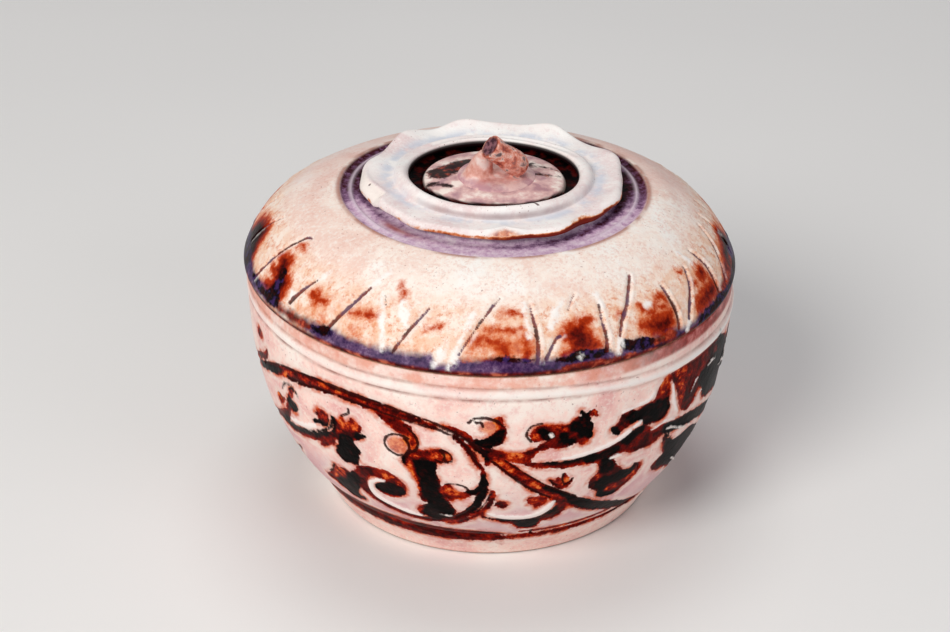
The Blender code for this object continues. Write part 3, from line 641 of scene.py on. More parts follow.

# Raised edges, with a painted highlight in white along them
RIDGE_HIGHLIGHTS = [
    [(14.6, 46.7, 0.3), (18, 46.6, 0.6), (22, 46.9, 0.75), (26, 47.7, 0.85), (29, 48.7, 0.9),
     (31.4, 49.9, 0.9), (33.2, 51.2, 0.8)],
    [(34.5, 52.1, 0.5), (35.6, 52.8, 0.75), (36.2, 53.2, 0.5)],
    [(-26.8, 33.5, 0.45), (-28.6, 33, 0.7), (-30.2, 31.6, 0.8), (-31.1, 29.4, 0.8), (-31.2, 27, 0.9),
     (-30.2, 24.8, 1.0), (-28, 23.4, 1.0), (-25, 22.2, 1.0), (-21.6, 21, 1.0), (-18.6, 20.4, 0.5)],
    [(-0.4, 25, 0.5), (2, 23.5, 0.9), (5, 22.6, 1.1), (9, 22.3, 1.1), (12.2, 23, 1.1),
     (14.6, 25.3, 1.1), (15.8, 27.9, 0.8)],
    [(-56, 41, 0.4), (-52, 42, 0.8), (-48, 43.6, 0.9), (-44.6, 45.8, 0.6)],
    [(13.5, 56, 0.5), (13.8, 55.4, 0.5)],
    [(29.2, 42.3, 0.4), (30.8, 42.9, 0.6), (32, 42.6, 0.3)],
    [(46, 44.9, 0.2), (48, 44.3, 0.3), (50, 43, 0.3), (53, 41.4, 0.25), (57, 39.6, 0.2)],
    [(40.4, 48, 0.4), (43, 48.8, 0.45), (45.4, 48.9, 0.4), (48, 47.6, 0.25)],
    [(45.4, 61.4, 0.3), (46, 58.4, 0.45), (46.4, 55.6, 0.45), (47.4, 52.6, 0.4), (48.6, 50.2, 0.25)],
    [(53.6, 54, 0.3), (54.6, 56.4, 0.35), (56, 57.4, 0.2)],
    [(56.2, 49.9, 0.3), (57.8, 50.6, 0.35), (58.8, 51.4, 0.2)],
    [(31, 59, 0.4), (34.4, 59.6, 0.5), (38, 60.2, 0.6), (39.6, 62, 0.5)],
    [(56, 26.4, 0.3), (62, 21.4, 0.4), (68, 17, 0.3)],
    [(61, 58.6, 0.3), (63.6, 59, 0.45), (65.4, 58.4, 0.25)],
    [(-13, 22.4, 0.15), (-10.8, 22.2, 0.4), (-10, 22.8, 0.2)],
    # veins of the far right leaves
    [(70, 52.6, 0.15), (75, 51.2, 0.35), (80, 50, 0.3), (86, 48.8, 0.15)],
    [(72, 52.2, 0.15), (74.4, 54.6, 0.3), (76.6, 56.4, 0.15)],
    [(75, 51, 0.15), (77, 48.4, 0.3), (78.2, 46.4, 0.15)],
    [(69, 25.6, 0.15), (74, 23.6, 0.35), (79, 22.4, 0.3), (84, 20.8, 0.15)],
    [(70, 25.4, 0.15), (72.4, 27.6, 0.3), (74.2, 29, 0.15)],
    [(72, 24.4, 0.15), (73.2, 21.4, 0.3), (73.6, 18.8, 0.15)],
]

INK_SPREAD = 0.05  # mm that a stroke of ink ran on each side

# By azimuth: the height of the raised hoop under the rim, how far it stands out (which also sets how
# strong its painted highlight is), how dark red the rim above it is, and how dark the line below it is
HOOP = [(-90, 70.6), (-60, 71), (-48, 70.6), (-34, 69.9), (-10, 70.2), (8, 70.2), (17, 69.8), (25, 69),
        (34, 68), (45, 67.3), (60, 67.2), (72, 67), (100, 67.6), (150, 69.5), (180, 70), (230, 70.4)]
HOOP_RISE = [(-90, 0.25), (-40, 0.3), (10, 0.35), (25, 0.5), (45, 0.7), (70, 0.75), (110, 0.5),
             (180, 0.3), (250, 0.25)]
RIM_REDNESS = [(-180, 0.3), (-60, 0.1), (18, 0.0), (30, 0.25), (40, 0.8), (50, 1.0), (90, 0.9),
              (120, 0.3), (180, 0.3)]
LINE_INK = [(-90, 1.0), (0, 0.9), (18, 0.7), (30, 0.3), (80, 0.2), (120, 0.6), (180, 1.0)]

# Thin wash and dark band of iron along the foot's line
FOOT_WASH = [
    [(-178, 12.4, 3.0), (-140, 12.2, 3.0), (-100, 12.4, 2.8), (-60, 12.6, 2.8), (-44, 13, 3.0),
     (-32, 13, 3.2), (-22, 12.6, 3.2), (-12, 12, 3.2), (-4, 11.8, 2.9), (2, 11.6, 2.4), (6, 11.4, 1.2)],
    [(8, 9.8, 1.0), (18, 9.6, 1.0), (28, 10.2, 1.6), (45, 11.2, 2.0), (80, 12, 2.4), (120, 12.2, 2.8),
     (150, 12.2, 3.0), (178, 12.4, 3.0)],
    [(2.6, 9.4, 0.6), (3, 7.8, 0.5), (3.2, 6.4, 0.25)],
]

FOOT_BAND = [
    [(-178, 12, 2.4), (-140, 12, 2.6), (-100, 12.4, 2.4), (-70, 12.6, 2.2), (-50, 12.8, 2.3),
     (-36, 12.8, 2.5), (-24, 12.4, 2.5), (-14, 12, 2.6), (-6, 11.8, 2.4), (0, 11.7, 1.9),
     (3.6, 11.4, 0.8)],
    [(2, 9.5, 0.45), (9, 9.4, 0.6), (18, 9.4, 0.7), (28, 9.8, 0.8), (40, 10.6, 1.1), (60, 11.2, 1.4),
     (90, 11.8, 1.8), (130, 12, 2.2), (178, 12, 2.4)],
    [(9, 12.9, 0.35), (14, 12.6, 0.6), (20, 12.7, 0.9), (26, 13, 0.9), (34, 13.6, 0.7), (44, 14, 0.5)],
    [(-82, 9.4, 0.8), (-64, 9.2, 1.2), (-50, 9, 1.5), (-36, 8.9, 1.6), (-22, 8.9, 1.6), (-10, 9, 1.5),
     (0, 9.1, 1.2), (6, 9.2, 0.6)],
]

# Orange blush where thin iron shows through
RUST = [
    [(-23.6, 50.4), (-22.4, 52.4), (-20.8, 52.8), (-19.2, 51.6), (-18.9, 49.2), (-19.8, 47),
     (-21.4, 46.4), (-23, 47.6)],
    [(-60, 56.4), (-50, 60.4), (-42, 62.3), (-34, 62.8), (-26, 62), (-26, 61.2), (-34, 61.6),
     (-42, 60.8), (-50, 59), (-59, 55.4)],
    [(-0.6, 50.6), (5, 44.6), (12, 36.4), (20, 28.8), (19.6, 27.4), (11, 35.6), (4, 43.6),
     (-1.2, 49.4)],
    [(-2.2, 60), (-0.6, 61.6), (1.6, 61.2), (2.6, 59.4), (1.2, 57.8), (-0.8, 57.6), (-2.4, 58.4)],
    [(-19.4, 53.8), (-17.6, 54.6), (-16.6, 52), (-17, 49.6), (-18, 48.2), (-18.4, 50.6)],
    [(-16, 48.4), (-13.4, 49.6), (-11.2, 49.8), (-9.4, 48.4), (-9.2, 46.6), (-11.4, 46), (-14, 46.6)],
    [(-20.2, 44), (-18.6, 47), (-16, 47.2), (-17.8, 44.6), (-18, 41), (-17.2, 37), (-17.2, 32.6),
     (-18, 38.4)],
    [(-19.2, 22.6), (-18, 24.4), (-17, 24.6), (-17.6, 21.8)],
    [(-43.6, 51), (-42.4, 52.8), (-40.6, 52.6), (-40.4, 49.6), (-42.4, 48.6)],
    [(-38, 49.4), (-37.4, 51.8), (-35.4, 52.8), (-33.4, 51.8), (-32.4, 54), (-30.8, 52.8),
     (-31.2, 50.6), (-33, 49.6), (-35, 49), (-37.6, 47)],
    [(-61.6, 45.6), (-60.4, 46.8), (-59.4, 45), (-61, 43.8)],
    [(-52.8, 54), (-53.8, 52), (-54.2, 50.2), (-53.2, 50), (-52.4, 52)],
    [(-54, 44.8), (-52.4, 45.6), (-51.4, 45), (-52.8, 44)],
    [(-67.8, 62.8), (-66.4, 63.4), (-66.2, 62.2), (-68, 61.6)],
    [(-46, 24.6), (-44, 27.4), (-42, 30.6), (-39.4, 31), (-39.6, 28.4), (-42, 26.4), (-44.6, 24)],
    [(-27, 36.6), (-24, 36.8), (-22, 34.8), (-21.4, 32.4), (-23, 32.8), (-25, 34), (-27, 34.4)],
    [(-29.2, 28.2), (-27.6, 27), (-25.6, 26.8), (-27.6, 27.8)],
    [(1.4, 62.4), (2.6, 63), (2.8, 61), (1.8, 59.6), (1, 60.8)],
    [(9.2, 56.6), (10.2, 58.2), (11.4, 57.4), (10.8, 55), (9.4, 55)],
    [(22.6, 61.2), (23.6, 61.5), (23.8, 60.5), (22.8, 60.2)],
    [(14, 58.4), (17, 58.2), (17.4, 56.6), (14.8, 56.6)],
    [(4, 49.6), (8, 49.8), (8.6, 47.2), (5.4, 47.4)],
    [(30, 29.4), (32, 29.6), (34, 28.6), (34.6, 27), (32.4, 26.4), (30.4, 27.4)],
    [(25.2, 35.4), (26.8, 36.6), (28, 34.6), (26.4, 32.4), (25.2, 33)],
    [(36.4, 31.4), (38.6, 32.4), (38.6, 30.4), (37, 29)],
    [(46.4, 65), (50, 65.2), (52.4, 64), (52, 60), (51, 56), (50.4, 52.4), (49.4, 53.6), (48.8, 57),
     (47.4, 61)],
    [(41.8, 62.8), (43.6, 64.8), (44.4, 63), (44, 60.6), (42, 60.4)],
    [(16.8, 38.2), (18, 38.8), (19.4, 36.4), (18, 34.8), (16.6, 36.2)],
    [(10, 30.2), (11.6, 30.6), (11.8, 28.6), (10.6, 28.6)],
    [(-10.8, 34), (-9.8, 36), (-9, 34.8), (-7.4, 33.4), (-8, 31.8), (-10, 32.6)],
]

# Petal lines cut into the lid, from foot to tip
FRONT_PETALS = [
    [(-84, 83.5, 0.4), (-82.6, 89, 0.45), (-79.5, 93.2, 0.25)],
    [(-70.2, 80, 0.7), (-69.2, 82.5, 0.7), (-67.8, 86, 0.65), (-66.6, 89.4, 0.6), (-65.2, 92, 0.6),
     (-63.4, 94.2, 0.55), (-62, 95, 0.45), (-60.8, 95.1, 0.3)],
    [(-52.6, 82.2, 0.75), (-51.6, 84.4, 0.75), (-50.2, 87, 0.6), (-49, 88.8, 0.5), (-48.2, 89.8, 0.35)],
    [(-38.6, 82, 0.75), (-37, 85, 0.7), (-35.6, 87.4, 0.65), (-34.2, 89.6, 0.65), (-33, 91.6, 0.6),
     (-32.2, 92.6, 0.45)],
    [(-21.8, 80.2, 0.5), (-20, 84, 0.52), (-18.4, 86.8, 0.52), (-16.6, 89.4, 0.48),
     (-15.2, 91.2, 0.38)],
    [(-6.8, 82, 0.35), (-5, 85.4, 0.42), (-3, 88.4, 0.45), (-1, 90.8, 0.45), (1, 92.8, 0.42),
     (2.6, 94, 0.3)],
    [(10.4, 80, 0.6), (10.8, 84, 0.65), (10.8, 87.6, 0.6), (10.5, 90, 0.55), (10.2, 93, 0.35)],
    [(12.4, 80.8, 0.5), (13.6, 83, 0.52), (15, 85.2, 0.5), (16.2, 85.8, 0.48)],
    [(26.6, 80.6, 0.65), (27.2, 84, 0.6), (27.2, 87, 0.52), (27.6, 89.6, 0.42), (27.8, 90.8, 0.3)],
    [(30.6, 83.2, 0.45), (32, 86, 0.58), (34, 88, 0.62), (36.4, 90.4, 0.62), (38.6, 92.4, 0.62),
     (40.6, 94, 0.52)],
    [(47.2, 79.4, 0.6), (48, 83, 0.62), (48, 87, 0.6), (47.8, 90, 0.42)],
    [(51.4, 80.4, 0.62), (53.4, 83.4, 0.62), (55.8, 86, 0.52), (57.8, 88.6, 0.42), (59, 90.6, 0.3)],
    [(66.4, 80.8, 0.65), (67, 84.4, 0.7), (67.4, 87.6, 0.68), (66.8, 90, 0.58), (66, 92, 0.38)],
    [(72, 80.6, 0.4), (76, 86, 0.5), (81, 92.5, 0.25)],
    [(86, 81, 0.4), (87, 87, 0.5), (87.4, 92.5, 0.25)],
    [(-27.4, 92, 0.3), (-26.4, 90.4, 0.4)],
    [(19.6, 91, 0.25), (21, 92.4, 0.35), (22.6, 93.6, 0.25)],
]
PETAL_SPREAD = 0.08  # mm that a petal line opened on each side
BURR_ASIDE = 0.9  # degrees from a cut to the clay it threw up
BACK_PETALS = 12
BACK_PETAL_START = 95.0
BACK_PETAL_STEP = 15.0

# Painted highlights beside the petal lines, on low raised streaks
LIT_STREAKS = [
    [(-53.2, 84.8, 0.4), (-52.7, 83.6, 0.7), (-52.3, 84.9, 0.4)],
    [(-48, 90.2, 0.4), (-46.8, 91.4, 0.6), (-45.8, 92.4, 0.3)],
    [(-32.2, 92.8, 0.5), (-30.8, 94.4, 0.9), (-29.4, 95.8, 0.5)],
    [(-28, 92, 0.5), (-26.6, 89, 0.9), (-25.4, 86, 0.7), (-24.6, 83, 0.5), (-24, 80.4, 0.4)],
    [(-22, 91.4, 0.8), (-20.8, 89, 1.2), (-20.2, 87.4, 0.7)],
    [(-12.2, 78.9, 0.5), (-11.4, 80.6, 0.9), (-10.4, 82.8, 0.8), (-9.6, 84.6, 0.4)],
    [(-8.8, 78.6, 0.5), (-7.9, 80.4, 0.9), (-7.2, 82.6, 0.7), (-6.2, 85.6, 0.5), (-5.2, 88.4, 0.6),
     (-4, 91, 0.6)],
    [(14.4, 88, 0.5), (16.4, 91, 0.9), (18.6, 93, 0.5)],
    [(29.2, 79.4, 0.5), (30, 81.4, 0.8), (30.3, 82.8, 0.4)],
    [(28.8, 89.6, 0.4), (28.4, 92.6, 0.8)],
    [(49.4, 78.2, 0.5), (50.6, 79.4, 0.7), (51.2, 80.4, 0.4)],
    [(40.2, 87.7, 0.6), (41.4, 87.7, 0.7)],
    [(9.2, 86, 0.4), (9, 90, 0.6), (8.6, 93, 0.4)],
    [(61, 93.2, 0.6), (62.2, 91.4, 0.8), (62.6, 90.2, 0.4)],
    [(20, 80.3, 0.45), (20.3, 80.3, 0.35)],
]

# The dark band along the lid's edge by azimuth: its top, how dark it is, and its bottom
BAND_TOP = [(-92, 82), (-75, 81.6), (-70, 80.8), (-64, 80.6), (-55, 80), (-48, 80.5), (-40, 81.2),
            (-36, 81.3), (-30, 80.7), (-25, 80.5), (-17, 80.9), (-12.8, 81.3), (-11.6, 79.2),
            (-8.2, 79), (-7, 81), (-3, 80.7), (0, 81.4), (5, 81.2), (10, 80.9), (14, 80.7), (20, 81),
            (27, 80.7), (28.4, 79.2), (30, 79.2), (31, 81.2), (38, 80.2), (42, 79.8), (47, 79.6),
            (50, 78.4), (53, 78.6), (55, 79.4), (62, 80), (70, 81.2), (80, 82.4), (95, 82), (130, 80.8),
            (180, 80.6), (230, 81)]
BAND_DARK = [(-92, 0.9), (-60, 0.8), (-44, 1.0), (-36, 0.8), (-28, 0.5), (-16, 0.3), (-4, 0.5),
             (4, 0.9), (12, 1.0), (22, 0.7), (30, 0.6), (40, 0.9), (60, 1.0), (95, 0.8), (180, 0.7),
             (230, 0.8)]
BAND_LOW = [(-92, 76), (-72, 76.4), (-66, 77.8), (-60, 78.4), (-54, 78.6), (-48, 78.4), (-43, 77.8),
            (-39, 76.9), (-30, 76), (60, 76), (180, 76)]

# How strong the painted shade in the moat under the calyx is, and how burnt the glaze is above the band,
# by azimuth
PLATE_SHADE = [(-180, 0.4), (-90, 0.4), (-70, 0.5), (-40, 0.2), (-15, 0.1), (0, 0.4), (18, 0.8),
               (50, 1.0), (75, 0.9), (100, 0.6), (180, 0.4)]
BURN = [(-92, 1.0), (-80, 0.85), (-72, 0.4), (-66, 0.6), (-58, 0.9), (-54, 0.4), (-51, 0.35),
        (-46, 0.8), (-40, 0.7), (-36, 0.45), (-30, 0.85), (-26, 0.5), (-22, 0.35), (-17, 0.55),
        (-12, 0.3), (-8, 0.3), (-3, 0.85), (3, 1.0), (8, 1.0), (11, 0.5), (15, 0.45), (20, 1.0),
        (25, 0.8), (28, 0.35), (32, 0.4), (38, 0.9), (44, 0.9), (48, 0.5), (51, 0.25), (57, 0.8),
        (63, 0.9), (67, 0.7), (72, 0.4), (80, 1.0), (95, 1.0), (120, 0.7), (180, 0.7), (230, 0.8),
        (268, 1.0)]

# Orange-brown blotches between the petal lines
BLOTCHES = [
    [(-4, 85, 0.5), (-1, 85.6, 0.9), (2.2, 84.8, 1.4), (3.6, 82.6, 1.5), (3.4, 81.2, 1.2)],
    [(7.6, 86.4, 0.6), (8.2, 83.6, 1.1), (8, 81.4, 1.0)],
    [(2.4, 91, 0.3), (5, 91.5, 0.6), (7.8, 91, 0.3)],
    [(-1, 88, 0.2), (3, 87.8, 0.5), (7, 88, 0.3)],
    [(38.2, 88.3, 0.4), (38.8, 87, 0.7), (40.4, 86.1, 0.8), (42, 86.4, 0.8), (42.9, 87.5, 0.5)],
    [(43.5, 87.6, 0.5), (44.4, 88.3, 0.6), (46, 88.1, 0.8), (46.2, 86.7, 0.8), (44.8, 85.8, 0.6),
     (43.6, 86.3, 0.5)],
    [(58.3, 86.7, 0.5), (58.9, 86.4, 0.5)],
    [(56, 90.4, 0.4), (56.4, 90.2, 0.4)],
    [(32.1, 88, 0.4), (32.7, 87.7, 0.4)],
    [(-62.4, 92.9, 0.4), (-60.9, 93.4, 0.7), (-59.7, 93, 0.4)],
    [(-14.4, 87.4, 0.3), (-13, 87.6, 0.5), (-11.8, 87.6, 0.3)],
    [(-24.2, 94.6, 0.2), (-23, 93.6, 0.4), (-22.2, 92.4, 0.3)],
]
BLOTCH_SHAPES = [
    [(-66.2, 89), (-64.4, 90.4), (-62, 90.8), (-59.4, 90.4), (-58.6, 88.4), (-56.8, 87.6),
     (-55.2, 86.4), (-55, 83.6), (-55.4, 81), (-58, 80), (-62, 80), (-66.6, 80.4), (-64.4, 82.6),
     (-62.6, 84), (-65.6, 85.4), (-66.2, 86.4), (-64, 87.4)],
    [(-47.6, 87.3), (-45.4, 88.2), (-43.6, 87.3), (-41.6, 86.8), (-43.6, 85.9), (-45.2, 85.2),
     (-46.8, 85.9)],
    [(-34.4, 86.6), (-32, 87.6), (-29, 88), (-27, 87.8), (-28.6, 87), (-32, 86.4)],
    [(16.4, 86.2), (18.2, 87.8), (21, 88.5), (23.8, 89), (25.2, 88.3), (23.5, 87), (24, 85.4),
     (24.8, 83.4), (25.6, 81.4), (21, 80.8), (15.6, 81), (17.8, 83.4), (16.6, 84.8)],
    [(36.2, 84.2), (39, 85.2), (42.4, 85.3), (46.6, 84.8), (46.6, 82.4), (45, 79.6), (40.4, 79.6),
     (38.2, 81.6), (36.4, 82.4)],
    [(60.8, 86.4), (61.5, 88.6), (63.4, 89.4), (65, 88.7), (65.3, 86.6), (64, 85), (62, 85)],
    [(54.6, 80.2), (55.8, 83.4), (58.6, 84.5), (62, 84.8), (65.8, 84.6), (66.4, 81.2), (60, 79.4)],
    [(70, 77.6), (72, 82), (76, 84.4), (82, 87), (90, 88), (92, 77.6)],
    [(-92, 77.6), (-90, 88), (-80, 90), (-77, 86), (-75, 82), (-73, 77.6)],
]

# Black pools along the lid's edge, and the reds between them
EDGE_POOLS = [
    [(-72, 80), (-69.4, 81), (-66, 80.4), (-62.8, 80.8), (-60.8, 82.2), (-60.8, 84), (-59.8, 86),
     (-60.8, 87.6), (-59, 87.6), (-58, 85), (-57.2, 82.6), (-55.8, 80.2), (-56.4, 78.7), (-62, 78.6),
     (-68, 78.8)],
    [(-44, 80), (-41, 80.9), (-39.4, 82), (-37.4, 81.8), (-37.2, 79.5), (-39.4, 78.8), (-42, 79)],
    [(14.6, 80.3), (17, 81), (20, 81.8), (23, 81.6), (27, 81), (26.8, 79.9), (22, 79.1), (18, 79.2)],
    [(30.2, 80.4), (31.3, 82.1), (33, 81.8), (35, 81.4), (37, 81), (39.2, 79.7), (37.8, 78.7),
     (35, 78.4), (32.6, 79)],
    [(53.4, 77.4), (54.8, 79.2), (57, 79.6), (62, 79.8), (66.4, 79.8), (69, 79), (75, 79), (84, 80),
     (88, 76.4), (54, 76.4)],
    [(-92, 77), (-90, 81), (-84, 81.8), (-79, 81.4), (-78, 79), (-82, 77.4)],
    [(0.6, 81), (2, 81.8), (4, 81.6), (7, 81.4), (10.4, 81), (8, 80.4), (4, 80.6)],
]
EDGE_REDS = [
    [(-57, 79.4, 0.8), (-52, 79.4, 1.3), (-47, 79.6, 1.3), (-44, 79.4, 0.7)],
    [(39.4, 79, 0.8), (42, 79.2, 1.3), (45.4, 78.8, 0.8)],
    [(67, 80.6, 0.8), (71, 80.8, 1.6), (76, 81.2, 2.0), (82, 81.6, 1.6)],
    [(16, 78, 0.5), (21, 78.2, 0.7), (27, 78, 0.6), (33, 77.6, 0.4)],
    [(-6, 81, 0.3), (0, 81.6, 0.5), (6, 81.7, 0.5), (10, 81.2, 0.4)],
]

# Brush marks on the disc, from (x, y) to (x, y) with a half width
DISC_MARKS = [(-16, 2, -9, 9, 4.0), (-11, 6, -8, 10, 3.0), (-19, -5, -13, -7.4, 1.0),
              (10.5, 8, 19, 6, 0.7), (12, 1, 19.5, 1.5, 0.5), (9, 5, 12, 9, 0.6), (-4, 15, 6, 16, 1.0)]
# Inner radius of the dark ring round the disc, by azimuth
RING_INNER = [(-180, 20.9), (-75, 20.9), (-40, 19), (0, 17.4), (40, 19), (75, 20.9), (180, 20.9)]


# Materials. A colour is as it is seen on a screen, from 0 to 255. A ramp lists (place, colour) stops.

CREAM = (255, 216, 204)
PALE = (255, 240, 230)
PINK = (238, 182, 176)
# colour of the painted shade low down on the jar
LOW_SHADE_MAUVE = (212, 164, 174)
RED_BROWN = (122, 28, 10)
BLACK = (2, 1, 1)
WHITE = (255, 250, 245)
CLAY = (178, 128, 96)
GRIT = (132, 88, 64)
PIT = (134, 78, 66)

# Jar
FRINGE = (206, 134, 122)
GLOW = (212, 88, 34)
DEEP_POOL = (34, 2, 2)
CUT_BROWN = (44, 4, 3)
# colour of the painted highlight on raised edges
RIDGE_HIGHLIGHT_WHITE = (255, 242, 236)
LINE_BROWN = (130, 54, 40)
RIM_BLUSH = (238, 156, 128)
BROWN = [(0.0, (230, 122, 58)), (0.12, (212, 78, 24)), (0.24, (164, 32, 6)), (0.4, (110, 8, 2)),
         (0.6, (56, 2, 1)), (0.84, BLACK)]
RIM_RED_RAMP = [(0.34, (96, 8, 10)), (0.5, (160, 48, 50)), (0.66, (208, 124, 120))]
STAIN = [(0.36, (150, 24, 14)), (0.5, (196, 76, 56)), (0.64, (232, 156, 140))]
EMBERS = [(0.36, (160, 40, 12)), (0.48, (208, 84, 36)), (0.62, (234, 144, 92))]

# Lid
LID_GLAZE = ((246, 214, 200), (255, 240, 228), (255, 250, 243))  # shade, main tone and light
LID_ROSE = (236, 192, 182)
PETAL_PALE = (255, 236, 220)
PETAL_WARM = (246, 198, 164)
GRAIN = (230, 176, 160)
SPECK = (222, 130, 84)
CREST = (226, 208, 220)
BRINK = (160, 80, 58)
RING_RED = (70, 10, 8)
IRON = [(0.0, (252, 214, 184)), (0.2, (244, 172, 122)), (0.4, (222, 108, 50)), (0.6, (180, 54, 16)),
        (0.8, (112, 18, 6)), (1.0, (30, 4, 3))]
MURK = [(0.3, (14, 6, 30)), (0.42, (44, 26, 76)), (0.54, (92, 66, 106)), (0.68, (158, 132, 164))]
CRIMSON = [(0.36, (64, 4, 4)), (0.52, (126, 20, 10)), (0.66, (190, 76, 50))]
LIP = [(0.42, (56, 5, 4)), (0.54, (110, 20, 10)), (0.66, (190, 96, 68))]
WET = [(0.14, BLACK), (0.26, (66, 16, 30)), (0.38, (126, 90, 124)), (0.5, (198, 162, 190)),
       (0.6, (220, 196, 212)), (0.7, (236, 220, 224))]
DISC = [(0.36, (178, 130, 140)), (0.5, (226, 182, 178)), (0.62, PALE)]
SMEAR = [(0.5, (16, 2, 2)), (0.6, (120, 24, 10)), (0.7, (206, 92, 46))]
EDGE_BLACK = [(0.4, (44, 5, 5)), (0.5, BLACK), (0.62, (58, 36, 84))]
CUT_TINT = [(0.42, (66, 8, 6)), (0.5, (124, 40, 28)), (0.58, (92, 60, 88))]

# Calyx and stem
CALYX_GLAZE = ((240, 218, 216), (254, 244, 240), (255, 252, 248))  # shade, main tone and light
COOL = (208, 216, 230)
# colour of the painted light on the tab's face
TAB_LIGHT = (255, 244, 234)
SEAM = (146, 108, 108)
# colour of the painted shade under the plate
UNDERSIDE_SHADE = (22, 5, 8)
CRACK = (70, 20, 22)
PINCH_EMBER = [(0.36, (160, 48, 16)), (0.5, (222, 128, 78)), (0.64, (252, 220, 196))]
RIM_RUST = [(0.2, (246, 206, 176)), (0.6, (214, 116, 64)), (1.0, (120, 30, 14))]
STALK = [(0.34, (212, 136, 118)), (0.5, (240, 186, 172)), (0.64, (252, 230, 222))]
BARK = [(0.36, (136, 30, 18)), (0.45, (216, 104, 74)), (0.54, (244, 176, 156)), (0.63, (255, 238, 230))]
BARK_SPOT = (62, 22, 40)
SAWN_DARK = (66, 36, 46)
SAWN_PALE = (138, 92, 100)
SAWN_RIM = (84, 16, 10)
MOUND_DARK = (196, 146, 156)
MOUND_PALE = (236, 200, 194)


def srgb(colour):
    """A screen colour as the shader takes it."""
    linear = []
    for level in colour:
        share = level / 255
        linear.append(share / 12.92 if share <= 0.04045 else ((share + 0.055) / 1.055) ** 2.4)
    return (*linear, 1.0)


class Graph:
    """A short way to write a material's nodes. A size is that of the pattern, in mm."""

    def __init__(self, name):
        self.material = bpy.data.materials.new(name)
        self.material.use_nodes = True
        self.tree = self.material.node_tree
        self.shader = self.tree.nodes["Principled BSDF"]
        self.place = self.add("ShaderNodeTexCoord").outputs["Object"]

    def put(self, socket, value):
        if isinstance(value, bpy.types.NodeSocket):
            self.tree.links.new(value, socket)
        else:
            socket.default_value = srgb(value) if isinstance(value, tuple) else value

    def add(self, kind, inputs=None, **settings):
        node = self.tree.nodes.new(kind)
        for key, value in settings.items():
            setattr(node, key, value)
        for key, value in (inputs or {}).items():
            self.put(node.inputs[key], value)
        return node

    def noise(self, size, detail=4.0, roughness=0.55, distortion=0.0):
        inputs = {"Vector": self.place, "Scale": 1 / (size * MM), "Detail": detail}
        inputs |= {"Roughness": roughness, "Distortion": distortion}
        return self.add("ShaderNodeTexNoise", inputs).outputs["Fac"]

    def patches(self, size, low, high, detail=4.0, roughness=0.55):
        """Patches of noise: 0 where it is under low, 1 where it is over high."""
        return self.ease(self.noise(size, detail, roughness), low, high)

    def swing(self, amount, size, detail=4.0, roughness=0.55, middle=0.5):
        """Noise that swings to both sides of 0, from its middle."""
        return self.times(self.plus(self.noise(size, detail, roughness), -middle), amount)

    def cells(self, size):
        inputs = {"Vector": self.place, "Scale": 1 / (size * MM)}
        return self.add("ShaderNodeTexVoronoi", inputs).outputs["Distance"]

    def field(self, name):
        return self.add("ShaderNodeAttribute", attribute_name=name).outputs["Fac"]

    def math(self, operation, first, second):
        return self.add("ShaderNodeMath", {0: first, 1: second}, operation=operation).outputs[0]

    def plus(self, first, second):
        return self.math("ADD", first, second)

    def times(self, first, second):
        return self.math("MULTIPLY", first, second)

    def ease(self, value, low, high):
        """0 up to low, 1 from high on, and a smooth step between them."""
        inputs = {"Value": value, "From Min": low, "From Max": high}
        return self.add("ShaderNodeMapRange", inputs, interpolation_type="SMOOTHSTEP").outputs["Result"]

    def scale(self, value, low, high):
        """A value from 0 to 1 moved to the range from low to high."""
        return self.plus(self.times(value, high - low), low)

    def mix(self, share, first, second, most=1.0):
        """The first colour going over to the second, by the share of the most that it may."""
        node = self.add("ShaderNodeMix", data_type="RGBA")
        self.put(node.inputs[0], share if most == 1.0 else self.times(share, most))
        self.put(node.inputs[6], first)
        self.put(node.inputs[7], second)
        return node.outputs[2]

    def ramp(self, value, stops):
        node = self.add("ShaderNodeValToRGB", {"Fac": value})
        elements = node.color_ramp.elements
        while len(elements) < len(stops):
            elements.new(0.5)
        for element, (place, colour) in zip(elements, stops):
            element.position = place
            element.color = srgb(colour)
        return node.outputs["Color"]

    def finish(self, colour, roughness, bumps, specular=0.35):
        """Connects the shader. bumps lists (height, depth in mm) pairs."""
        self.put(self.shader.inputs["Base Color"], colour)
        self.put(self.shader.inputs["Roughness"], roughness)
        self.shader.inputs["Specular IOR Level"].default_value = specular
        normal = None
        for height, depth in bumps:
            node = self.add("ShaderNodeBump", {"Height": height, "Distance": depth * MM, "Strength": 1.0})
            if normal:
                self.put(node.inputs["Normal"], normal)
            normal = node.outputs["Normal"]
        self.put(self.shader.inputs["Normal"], normal)
        return self.material


def glaze_ground(g, shade, main, light):
    """The unpainted glaze: soft clouds of tone, fine mottling, and pin-prick pits."""
    clouds = g.noise(22, 5, 0.62, 0.5)
    tone = g.ramp(clouds, [(0.37, shade), (0.5, main), (0.62, light)])
    tone = g.mix(g.patches(1.2, 0.47, 0.64, 5, 0.7), tone, light, 0.55)
    tone = g.mix(g.patches(2.6, 0.5, 0.68, 5, 0.72), tone, shade, 0.5)
    pits = g.times(g.ease(g.cells(2.3), 0.13, 0.05), g.patches(6, 0.44, 0.58, 3))
    tone = g.mix(pits, tone, PIT, 0.6)
    specks = g.times(g.patches(0.9, 0.66, 0.74, 2), g.patches(9, 0.42, 0.6, 3))
    return g.mix(specks, tone, RED_BROWN, 0.6)


def ragged(g, field, reach):
    """A stroke's field with a brushed edge that wanders by about the reach, in mm."""
    fine = g.swing(reach * 2.2, 0.78, 3, 0.6)
    wide = g.swing(reach * 4.0, 2.6, 3)
    return g.plus(g.plus(field, fine), wide)


